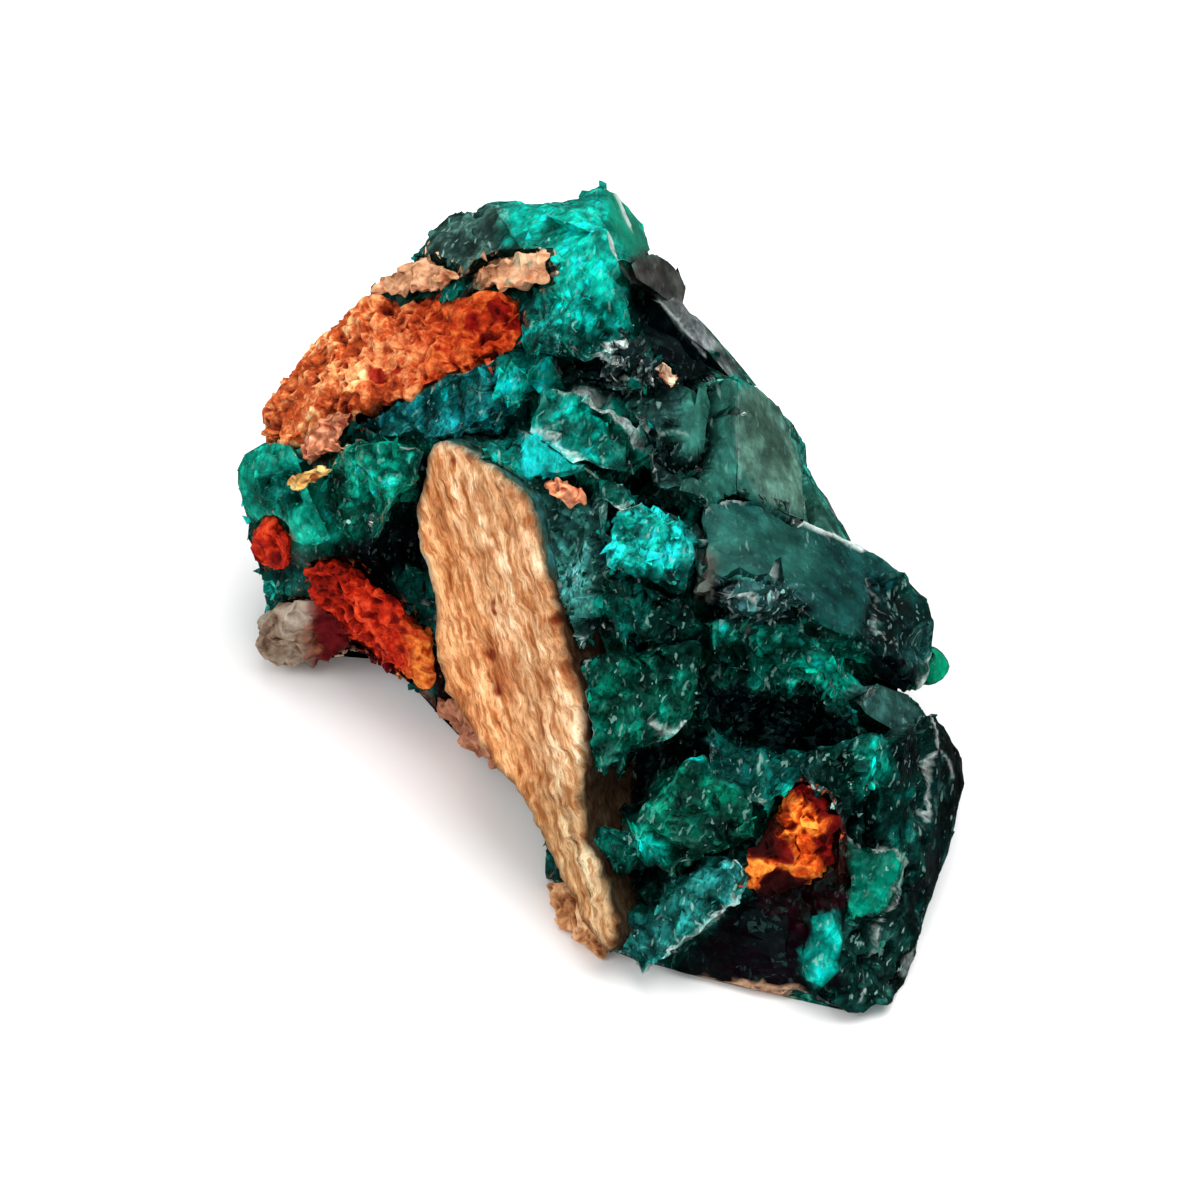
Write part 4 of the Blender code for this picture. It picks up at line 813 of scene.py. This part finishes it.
# painted shade: near-black in the dark cracks and in the caves
tint = tint * (1 - 0.97 * dark[:, None]) * (1 - 0.93 * cave[:, None])
# painted reflection: a thin buff fringe along the bottom edge, colour thrown up from the surface beneath
surface_bounce = np.full(len(P), 99.0)
for pts in ([(700, 979), (722, 984), (752, 983), (778, 988), (803, 986)], [(744, 988), (770, 994), (800, 992)]):
    surface_bounce = np.minimum(surface_bounce, line(u, w, pts))
surface_bounce = (step(3.2, 1.2, surface_bounce + 1.5 * fbm(P, 0.5, 417, 2)) * (n > 0.0))[:, None]
tint = tint * (1 - surface_bounce) + np.array([0.62, 0.36, 0.22]) * surface_bounce
# pale edges and veins, partly painted highlight
tint = tint * (1 - pale[:, None]) + np.array([0.80, 0.95, 0.90]) * pale[:, None]
tint = np.clip(tint, 0.0006, 0.95)
rough = np.clip(rough + 0.25 * pale, 0.03, 0.9)

clear_mat = dioptase("dioptase_crystal", 0.42, (0.0, 0.79, 0.64), 1300.0, 2600.0)
mass = make("dioptase_mass", P2, T, clear_mat, tint=tint, rough=rough, flaw=np.clip(flaw, 0, 1), spark=spark)
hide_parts("dioptase_crystals")
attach(mass, "root")


# ----------------------------------------------- small crystals on the broken face
def template(rng, kind):
    """A flat pointed splinter, or a chipped block, of broken crystal."""
    bm = bmesh.new()
    if kind < 6:
        for k in range(10):
            t = rng.uniform(-1, 1)
            reach = (1 - abs(t)) ** 0.6
            bm.verts.new((rng.uniform(-0.42, 0.42) * (0.25 + reach), rng.uniform(-0.22, 0.22) * (0.3 + reach), t))
    else:
        for _ in range(9):
            v = rng.normal(size=3)
            v *= rng.uniform(0.45, 0.75) / np.linalg.norm(v)
            bm.verts.new(v)
    bmesh.ops.convex_hull(bm, input=bm.verts)
    bmesh.ops.delete(bm, geom=[v for v in bm.verts if not v.link_faces], context="VERTS")
    bmesh.ops.triangulate(bm, faces=bm.faces)
    bmesh.ops.recalc_face_normals(bm, faces=bm.faces)
    bm.verts.ensure_lookup_table()
    bm.verts.index_update()
    co = np.array([v.co for v in bm.verts])
    tr = np.array([[v.index for v in f.verts] for f in bm.faces])
    bm.free()
    return co, tr


def scatter(P, T, density, size, seed, cap):
    """Places on the surface for small crystals: position, normal, size in mm and the triangle they stand on."""
    rng = np.random.default_rng(seed)
    a, b, c = P[T[:, 0]], P[T[:, 1]], P[T[:, 2]]
    cr = np.cross(b - a, c - a)
    area = np.linalg.norm(cr, axis=1) / 2
    rate = area * density[T].mean(1)
    total = rate.sum()
    count = int(min(cap, total))
    pick = rng.choice(len(T), count, p=rate / total)
    r1, r2 = np.sqrt(rng.uniform(size=count)), rng.uniform(size=count)
    pos = a[pick] * (1 - r1)[:, None] + b[pick] * (r1 * (1 - r2))[:, None] + c[pick] * (r1 * r2)[:, None]
    nor = cr[pick] / (np.linalg.norm(cr[pick], axis=1)[:, None] + 1e-9)
    s = size[0] * (size[1] / size[0]) ** (rng.uniform(size=count) ** 1.6)
    return pos, nor, s, pick, rng


def grow(pos, nor, s, rng, temps, sink, lie=None):
    """One mesh of small splinters lying on the surface; says for each corner which one it belongs to."""
    VP, VT, owner = [], [], []
    base = 0
    for i in range(len(pos)):
        co, tr = temps[rng.integers(len(temps))]
        a = math.radians(62 + rng.normal() * 34) if lie is None else lie + rng.normal() * 0.15
        axis = RIGHT * math.cos(a) + UP * math.sin(a) + rng.normal(size=3) * 0.2
        axis = axis - nor[i] * (axis @ nor[i]) * rng.uniform(0.5, 1.0)
        axis /= np.linalg.norm(axis)
        flat = nor[i] + rng.normal(size=3) * 0.35
        side = np.cross(axis, flat)
        side /= np.linalg.norm(side)
        R = np.stack([side, np.cross(axis, side), axis], 1)
        q = (co * s[i] * np.array([rng.uniform(0.5, 0.9), 0.7, rng.uniform(0.6, 1.0)])) @ R.T
        VP.append(q + pos[i] - nor[i] * s[i] * sink)
        VT.append(tr + base)
        owner.append(np.full(len(co), i))
        base += len(co)
    return np.concatenate(VP), np.concatenate(VT), np.concatenate(owner)


rng0 = np.random.default_rng(5)
TEMPS = [template(rng0, k % 10) for k in range(20)]

rim = (w < 218) | ((u > 596) & (w < 300)) | (u > 640) & (n < np.interp(w, (250, 500, 700, 1000), (-2.0, -1.0, 2.0, 4.0)))
dens = V[:, 8] * (1 - step(0.02, 0.2, pale)) * (1 - dark) * (P2[:, 2] > 1.3) * np.where(rim, 0.25, 1.0) * np.where((u > 735) & (w < 570), 0.0, 1.0)
dens = dens + 3.0 * step(0.6, 0.2, gap) * (P2[:, 2] > 0.5)
cap = 6500
pos, nor, s, pick, rng = scatter(P2, T, dens, (0.22, 0.85), 17, cap)
# painted glints: a few grains made small and tinted near-white
glint = (rng.uniform(size=len(pos)) < 0.03)[:, None]
s = np.where(glint[:, 0], s * 0.55, s)
gp, gt, own = grow(pos, nor, s, rng, TEMPS, 0.10)
at = T[pick, 0]
g_tint = 1.1 * V[at, :3] * np.exp(rng.normal(0.05, 0.5, len(pos)) + 1.8 * patch[at])[:, None]
g_tint = g_tint * (1 + rng.uniform(-1, 1, len(pos))[:, None] * np.array([0.0, -0.05, 0.10]))
g_tint = np.where(glint, g_tint * 0.4 + np.array([0.34, 0.74, 0.66]), g_tint)
g_tint = np.clip(g_tint, 0.0008, 0.9)
gp = np.clip(gp, lo, hi)
grains = make("dioptase_small_crystals", gp, gt, clear_mat, tint=g_tint[own], rough=np.clip(V[at, 5] + rng.uniform(-0.1, 0.15, len(pos)), 0.04, 0.7)[own],
              flaw=np.full(len(gp), 0.55), spark=np.full(len(gp), 0.5))
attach(grains, "root")

# ---------------------------------------------------------- relics of host rock
BUFF = ((0.20, 0.065, 0.02), (0.64, 0.31, 0.135), (0.95, 0.68, 0.42))
buff = rock("buff_rock", *BUFF, 1500.0, 0.5, stain=(0.30, 0.11, 0.03))
fibrous = rock("buff_fibrous", *BUFF, 8200.0, 0.9, fibre=True)
ochre = rock("iron_ochre", (0.07, 0.002, 0.0008), (0.42, 0.036, 0.008), (0.80, 0.24, 0.10), 2300.0, 0.9)
pale_rock = rock("pale_rock", (0.20, 0.10, 0.06), (0.50, 0.33, 0.22), (0.78, 0.62, 0.48), 1600.0, 0.5, stain=(0.35, 0.12, 0.05))


def relic(name, mat, fine, grow_mm, relief, pit, pit_cell, seed, tint_fn=None, stretch=None, smooth=False, ragged=0.34, chip=0.3):
    P, T = read_node(name)
    P, T = refine(P, T, fine_limit(fine, fine * 2.2), 90000)
    N = normals(P, T)
    Ns = blur(P, T, N, 3)
    Ns /= np.linalg.norm(Ns, axis=1)[:, None] + 1e-9
    Q = P if stretch is None else stretch(P)
    rough_h = fbm(Q, 0.62 if stretch else 1.3, seed, 4)
    h = relief * rough_h
    hole = np.zeros(len(P))
    if pit:
        d1 = pits(Q, pit_cell, seed + 5)
        d2 = pits(Q, pit_cell * 0.5, seed + 6)
        hole = np.maximum(1 - step(0.12, 0.5, d1), 0.7 * (1 - step(0.1, 0.45, d2)))
        hole *= step(-0.3, 0.25, fbm(P, 2.2, seed + 8, 2))
        h = h - pit * hole
    h = h + relief * 0.35 * fbm(Q, 0.35, seed + 9, 2)
    if chip:
        h = h + chip * (facets(P, 0.75, seed + 40)[0] + 0.6 * facets(P, 0.4, seed + 41)[0] - 0.4)
    tear = np.stack([fbm(P, 1.1, seed + 20 + k, 3) + 0.7 * noise(P, 0.4, seed + 30 + k) for k in range(3)], 1)
    pu, pw, pn = to_drawing(P)
    away = step(-4, 3, inside(pu, pw, [(352, 300), (372, 290), (464, 290), (474, 300), (440, 319), (400, 319), (372, 308)]))
    P = P - OUT * away[:, None] * (1.1 if name == "upper_ochre_seam" else 0.0)
    P2 = P + (Ns * (grow_mm + h)[:, None] + tear * ragged) * np.clip(P[:, 2] / 0.5, 0, 1)[:, None]
    P2 = np.clip(P2, lo, hi)
    height = np.clip(0.5 + 0.5 * rough_h - 0.9 * hole, 0, 1)
    tint = np.ones((len(P), 3)) if tint_fn is None else tint_fn(P, hole, rough_h)
    obj = make(name + "_rock", P2, T, mat, smooth=smooth, tint=np.clip(tint, 0.005, 14), height=height, along=Q / 1000.0)
    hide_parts(name)
    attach(obj, "root")
    return obj


def seam_tint(P, hole, r):
    """The upper seam: salmon and granular at its left end, deeper orange-red to the right."""
    u, w, n = to_drawing(P)
    k = step(330, 470, u + 25 * fbm(P, 1.2, 91, 2))[:, None]
    out = np.array([1.42, 2.75, 2.7]) * (1 - k) + np.array([0.95, 0.68, 0.32]) * k
    flake = step(0.1, 0.5, fbm(P, 0.5, 95, 3))[:, None]
    out = out * (1 + flake * np.array([0.05, 0.5, 0.8]) * (1 - 0.6 * k))
    blood = np.zeros(len(P))
    for a, b, r0 in ((475, 325, 8), (502, 310, 9), (488, 337, 6), (376, 375, 9), (399, 372, 6), (515, 326, 5), (438, 352, 4), (350, 412, 4)):
        blood = np.maximum(blood, step(r0 * 1.15, r0 * 0.8, np.hypot(u - a, w - b) + 3.0 * r))
    return out * (1 - blood[:, None] * np.array([0.55, 0.93, 0.93]))


def lower_tint(P, hole, r):
    """Bright red-orange walls round dark red cells, more orange at the lower end."""
    u, w, n = to_drawing(P)
    end = step(395, 425, u + 10 * r)[:, None]
    d = pits(P, 0.85, 433)
    cell = (1 - step(0.30, 0.46, d))[:, None]
    out = np.array([1.25, 0.42, 0.25]) * (1 - end) + np.array([1.35, 1.5, 0.6]) * end
    return out * (1 - cell * np.array([0.68, 0.93, 0.93]) * (1 - 0.7 * end))


FLAME = [(783, 812), (795, 798), (806, 800), (817, 808), (828, 820), (826, 832), (812, 834), (816, 850), (822, 866),
         (810, 876), (790, 874), (768, 872), (752, 886), (746, 880), (754, 862), (770, 858), (790, 862), (796, 850), (790, 836), (778, 832)]


def pocket_tint(P, hole, r):
    """Orange in a torn S down the pocket, deep glassy red around it."""
    u, w, n = to_drawing(P)
    wob = 5 * fbm(P, 0.7, 97, 3)
    k = step(-3, 3, inside(u + wob, w - wob, FLAME))[:, None]
    night = step(792, 776, u + wob) * step(862, 852, w) + step(868, 878, w + wob)
    glass = np.array([0.30, 0.03, 0.06]) * (1 - 0.88 * np.clip(night, 0, 1))[:, None]
    return np.array([1.55, 1.95, 0.6]) * k + glass * (1 - k)


def nodule_tint(P, hole, r):
    """Grey-cream to the left, soaked dark red to the right."""
    u, w, n = to_drawing(P)
    k = step(298, 322, u + 8 * fbm(P, 0.9, 98, 3))[:, None]
    return np.array([0.62, 0.66, 0.68]) * (1 - k) + np.array([0.26, 0.008, 0.02]) * k


A0 = np.array([450.0, 455.0])
A1 = np.array([600.0, 930.0])
AL = (A1 - A0) / np.linalg.norm(A1 - A0)


SLAB = [(438, 448), (431, 478), (424, 505), (426, 540), (436, 575), (444, 605), (443, 650), (450, 690), (474, 722), (502, 762),
        (528, 790), (548, 832), (570, 880), (592, 922), (608, 944), (613, 932), (604, 900), (596, 872), (582, 846), (577, 800),
        (580, 760), (574, 690), (561, 640), (547, 590), (539, 552), (531, 515), (516, 490), (500, 476), (482, 466), (464, 455), (448, 446)]


def along_slab(P):
    """Coordinates that run with the slab's fibres, so its grooves are long and narrow."""
    u, w, n = to_drawing(P)
    a = (u - A0[0]) * AL[0] + (w - A0[1]) * AL[1]
    c = -(u - A0[0]) * AL[1] + (w - A0[1]) * AL[0]
    c = c + 5.0 * noise(P, 3.0, 77) + 2.0 * noise(P, 0.9, 78)
    return np.stack([a * GRID * 0.2, c * GRID, n * 0.8], 1)


def slab_tint(P, hole, r):
    u, w, n = to_drawing(P)
    c = -(u - A0[0]) * AL[1] + (w - A0[1]) * AL[0]
    Q = along_slab(P)
    # orange-buff to the left, paler cream to the right: the slab's own colour, with the right side lightened as painted
    # light
    left = step(-12, 34, c + 10 * fbm(P, 2.0, 44, 2))[:, None]
    out = np.array([1.16, 1.14, 1.14]) * (1 - left) + np.array([1.18, 0.92, 0.72]) * left
    # fibre grain: darker grooves, and ridges lifted to cream that partly stand in as painted highlight
    groove = step(0.12, 0.42, fbm(Q, 0.17, 45, 2))[:, None]
    out = out * (1 - groove * np.array([0.35, 0.55, 0.7]))
    ridge = step(0.15, 0.55, fbm(Q, 0.3, 48, 2))[:, None]
    out = out * 1.12 * (1 + ridge * np.array([0.2, 0.5, 0.75]))
    stain = 1 - step(12, 30, np.hypot((u - 503) * 1.4, (w - 672) * 0.55) + 10 * r)
    out = out * (1 - 0.6 * stain[:, None] * np.array([0.5, 0.8, 0.95]))
    hidden = step(3, -5, inside(u, w, SLAB))[:, None]
    rust = np.zeros(len(P))
    for a, b, r0 in ((497, 602, 4.0), (497, 611, 3.0), (492, 655, 5.0), (500, 690, 6.0), (556, 620, 5.0), (455, 462, 4.0), (470, 458, 3.0)):
        rust = np.maximum(rust, step(r0 * 1.3, r0 * 0.6, np.hypot(u - a, (w - b) * 0.8) + 2.0 * r))
    out = out * (1 - rust[:, None] * np.array([0.62, 0.86, 0.92]))
    out = out * np.array([1.04, 1.15, 1.22]) * (1 - step(720, 840, w)[:, None] * np.array([0.2, 0.1, 0.1]))
    moss = np.array([0.055, 0.46, 0.86]) * np.exp(0.9 * fbm(P, 0.5, 49, 3))[:, None]
    low = step(560, 590, w)[:, None]
    return out * (1 - hidden) + hidden * (moss * (1 - low) + 0.07 * out * low)


relic("buff_slab", fibrous, 0.115, 0.20, 0.07, 0.0, 0.9, 101, slab_tint, along_slab, smooth=True, ragged=0.16, chip=0)
relic("upper_ochre_seam", ochre, 0.15, 0.22, 0.42, 0.55, 0.8, 111, seam_tint)
relic("lower_ochre_seam", ochre, 0.13, 0.22, 0.25, 0.45, 0.62, 121, lower_tint)
relic("front_ochre_pocket", ochre, 0.12, 0.25, 0.35, 0.45, 0.7, 131, pocket_tint)
relic("left_ochre_spot", ochre, 0.14, 0.2, 0.2, 0.3, 0.6, 141, lower_tint)
relic("pale_nodule", pale_rock, 0.16, 0.2, 0.25, 0.1, 0.8, 151,
      nodule_tint)


def mottle(P, seed):
    """Light and dark grains, with dark red specks."""
    m = np.exp(0.9 * fbm(P, 0.4, seed, 3) + 0.5 * noise(P, 0.16, seed + 1))[:, None]
    speck = step(0.25, 0.5, noise(P, 0.45, seed + 2))[:, None]
    return m * (1 - speck * np.array([0.45, 0.75, 0.75]))


def patch_tint(P, hole, r):
    """Tan, with a little green and rust worked into it."""
    moss = step(0.25, 0.6, fbm(P, 0.9, 451, 3))[:, None]
    rust = step(0.3, 0.6, fbm(P, 0.7, 455, 3))[:, None]
    out = np.ones((len(P), 1)) * np.array([1.2, 0.92, 0.72])
    return out * (1 - moss * np.array([0.72, 0.35, 0.25])) * (1 - rust * np.array([0.1, 0.45, 0.55]))


relic("upper_pale_patch_left", pale_rock, 0.15, 0.02, 0.20, 0.15, 0.6, 161,
      patch_tint)
relic("upper_pale_patch_right", pale_rock, 0.15, 0.02, 0.20, 0.15, 0.6, 171,
      patch_tint)
relic("under_slab_relic", pale_rock, 0.15, 0.22, 0.25, 0.2, 0.6, 181,
      lambda P, hole, r: np.ones((len(P), 1)) * np.array([0.85, 0.5, 0.4]))
relic("foot_relic", buff, 0.15, 0.22, 0.25, 0.2, 0.6, 191,
      lambda P, hole, r: np.ones((len(P), 1)) * np.array([1.0, 0.95, 0.9]))
relic("pink_chip", pale_rock, 0.10, -0.05, 0.16, 0.05, 0.5, 201,
      lambda P, hole, r: mottle(P, 471) * np.array([1.25, 0.72, 0.55]))
relic("yellow_chip", buff, 0.10, -0.03, 0.14, 0.05, 0.5, 211,
      lambda P, hole, r: mottle(P, 473) * np.array([0.95, 1.05, 0.7]))
relic("ridge_chip", pale_rock, 0.10, 0.04, 0.14, 0.05, 0.5, 221,
      lambda P, hole, r: mottle(P, 475) * np.array([1.3, 0.7, 0.5]))
relic("recess_pebble", buff, 0.10, -0.14, 0.10, 0.05, 0.5, 231,
      lambda P, hole, r: mottle(P, 477) * np.array([0.9, 1.1, 1.45]))

def cluster(name, zone, count, size, colour, seed, lift_mm, rims, low=-9.0):
    """A patch of larger crystals; rims says how many of their corners are frosted pale, which also serves as painted
    highlight.
    """
    dens = (inside(u, w, zone) > 0) * (P2[:, 2] > 0.5) * (n > low) * 1000.0
    pos, nor, s, pick, rng = scatter(P2, T, dens, size, seed, count)
    cp, ct, own = grow(pos + OUT * lift_mm, nor, s, rng, TEMPS, 0.1)
    tone = (np.exp(rng.normal(0, 0.5, len(pos)))[:, None] * colour)[own]
    # painted highlight: frosted pale corners
    frost_and_highlight = (rng.uniform(size=len(cp)) < rims)[:, None]
    tone = np.where(frost_and_highlight, np.array([0.46, 0.60, 0.57]), tone)
    obj = make(name, np.clip(cp, lo, hi), ct, clear_mat, tint=np.clip(tone, 0.001, 0.9), rough=np.full(len(cp), 0.15),
               flaw=np.full(len(cp), 0.5), spark=np.full(len(cp), 0.4))
    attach(obj, "root")


cluster("glassy_cluster", [(590, 344), (620, 334), (662, 348), (655, 392), (612, 390)], 40, (0.5, 1.4), np.array([0.004, 0.010, 0.012]), 501, 0.05, 0.13, 2.0)
cluster("ribbed_cluster", [(716, 586), (760, 576), (802, 590), (808, 614), (780, 628), (730, 622)], 60, (0.5, 1.3), np.array([0.008, 0.040, 0.040]), 502, 0.05, 0.2, 5.0)
cluster("green_strip", [(354, 302), (372, 291), (464, 291), (472, 300), (440, 316), (400, 316), (372, 308)], 170, (0.7, 1.8), np.array([0.0, 0.15, 0.115]), 503, 0.75, 0.04, -6.0)
cluster("slab_side_crystals", [(512, 486), (560, 500), (600, 520), (592, 640), (578, 690), (560, 650), (545, 590), (530, 520)], 150, (0.3, 0.8), np.array([0.012, 0.075, 0.066]), 504, 0.0, 0.12, 3.0)
cluster("slab_edge_crystals", [(524, 496), (545, 538), (556, 590), (572, 640), (586, 700), (592, 770), (580, 770), (566, 690), (552, 640), (540, 590), (530, 552), (518, 512)],
        230, (0.3, 0.85), np.array([0.010, 0.052, 0.047]), 506, 0.7, 0.10, -2.0)
cluster("hollow_crystals", [(400, 574), (434, 574), (438, 636), (416, 636), (402, 600)], 22, (0.5, 1.2), np.array([0.03, 0.04, 0.045]), 505, 0.1, 0.15, -6.0)

# crumbs of the relics around their torn edges, and splinters of the slab
def crumbs(name, mat, owner_names, colour, count, size, seed, lie=None, zone=None):
    want = np.zeros(len(P2))
    for key in owner_names:
        want = np.maximum(want, np.all(np.abs(stain_of - np.array(STAINS[key])) < 1e-9, axis=1))
    dens = want * step(0.75, 0.1, gap + 0.3 * fbm(P2, 1.0, seed, 2)) * (P2[:, 2] > 0.5) * 1000.0
    if zone is not None:
        dens = dens * (inside(u, w, zone) > 0)
    pos, nor, s, pick, rng = scatter(P2, T, dens, size, seed, count)
    cp, ct, own = grow(pos, nor, s, rng, TEMPS, 0.12, lie)
    tone = np.exp(rng.normal(0, 0.3, len(pos)))[:, None] * colour
    obj = make(name, np.clip(cp, lo, hi), ct, mat, tint=tone[own], height=np.clip(rng.uniform(0.2, 0.9, len(pos)), 0, 1)[own], along=cp / 1000.0)
    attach(obj, "root")


lie_slab = math.atan2(-AL[1], AL[0])
crumbs("ochre_crumbs", ochre, ("upper_ochre_seam", "lower_ochre_seam", "left_ochre_spot"), np.array([1.1, 1.2, 1.1]), 420, (0.2, 0.7), 401)
crumbs("pocket_crumbs", ochre, ("front_ochre_pocket",), np.array([0.8, 0.5, 0.4]), 90, (0.2, 0.5), 402)
crumbs("pale_crumbs", pale_rock, ("upper_pale_patch_left", "upper_pale_patch_right", "pink_chip", "pale_nodule"),
       np.array([1.0, 0.85, 0.75]), 200, (0.2, 0.65), 403)
crumbs("slab_splinters", buff, ("buff_slab", "foot_relic"), np.array([0.72, 0.56, 0.44]), 120, (0.35, 1.15), 404, lie_slab,
       [(536, 560), (552, 566), (572, 640), (580, 700), (588, 780), (606, 900), (620, 950), (590, 950), (570, 760), (556, 640)])

# ------------------------------------------------------------------- the studio
floor_nodes = Nodes("pale_floor")
floor_nodes.link(floor_nodes.ramp(floor_nodes.noise(14.0, 2.0), [(0.0, (0.90, 0.90, 0.90)), (1.0, (0.92, 0.92, 0.92))]),
                 floor_nodes.bsdf.inputs["Base Color"])
floor_nodes.bsdf.inputs["Roughness"].default_value = 0.9
floor_nodes.bsdf.inputs["Specular IOR Level"].default_value = 0.1
bm = bmesh.new()
bmesh.ops.create_grid(bm, x_segments=8, y_segments=8, size=1.5)
me = bpy.data.meshes.new("floor")
bm.to_mesh(me)
bm.free()
me.materials.append(floor_nodes.mat)
floor = bpy.data.objects.new("floor", me)
floor.location = (0, 0, -0.00002)
bpy.context.scene.collection.objects.link(floor)
floor.visible_glossy = False  # no grey glare of the floor on faces seen at a low angle

world = bpy.data.worlds.new("studio")
bpy.context.scene.world = world
world.use_nodes = True
bg = world.node_tree.nodes["Background"]
bg.inputs["Color"].default_value = (1.0, 1.0, 1.0, 1.0)
bg.inputs["Strength"].default_value = 1.05
sky = world.node_tree.nodes.new("ShaderNodeTexCoord")
split = world.node_tree.nodes.new("ShaderNodeSeparateXYZ")
shade = world.node_tree.nodes.new("ShaderNodeValToRGB")
shade.color_ramp.elements.new(0.5)
for k, (place, value) in enumerate(((0.0, 0.06), (0.45, 0.22), (1.0, 1.0))):
    shade.color_ramp.elements[k].position = place
    shade.color_ramp.elements[k].color = (value, value, value, 1.0)
world.node_tree.links.new(sky.outputs["Generated"], split.inputs[0])
world.node_tree.links.new(split.outputs["Z"], shade.inputs["Fac"])
world.node_tree.links.new(shade.outputs["Color"], bg.inputs["Color"])


def softbox(name, place, power, size, colour=(1.0, 1.0, 1.0)):
    light = bpy.data.lights.new(name, "AREA")
    light.energy = power
    light.shape = "RECTANGLE"
    light.size, light.size_y = size
    light.color = colour
    obj = bpy.data.objects.new(name, light)
    obj.location = place
    obj.rotation_euler = (Vector((0.0, 0.0, 0.008)) - Vector(place)).to_track_quat("-Z", "Y").to_euler()
    bpy.context.scene.collection.objects.link(obj)
    return obj


key = softbox("key", (0.12, 0.06, 0.40), 1.9, (0.40, 0.40))
key.visible_glossy = False
softbox("glints", (0.12, 0.06, 0.40), 0.6, (0.40, 0.40))
softbox("left", (-0.30, -0.08, 0.26), 0.55, (0.2, 0.2))
softbox("front", (0.05, -0.36, 0.22), 0.25, (0.2, 0.1))

cam = bpy.data.cameras.new("camera")
cam.lens = 180.0
cam.sensor_width = 36.0
cam.clip_start = 0.01
camera = bpy.data.objects.new("camera", cam)
camera.location = Vector((BASE + OUT * SIGHT) / 1000.0)
camera.rotation_euler = (math.radians(90) - LEAN, 0.0, 0.0)
bpy.context.scene.collection.objects.link(camera)
bpy.context.scene.camera = camera
bpy.context.scene.view_settings.view_transform = "Standard"
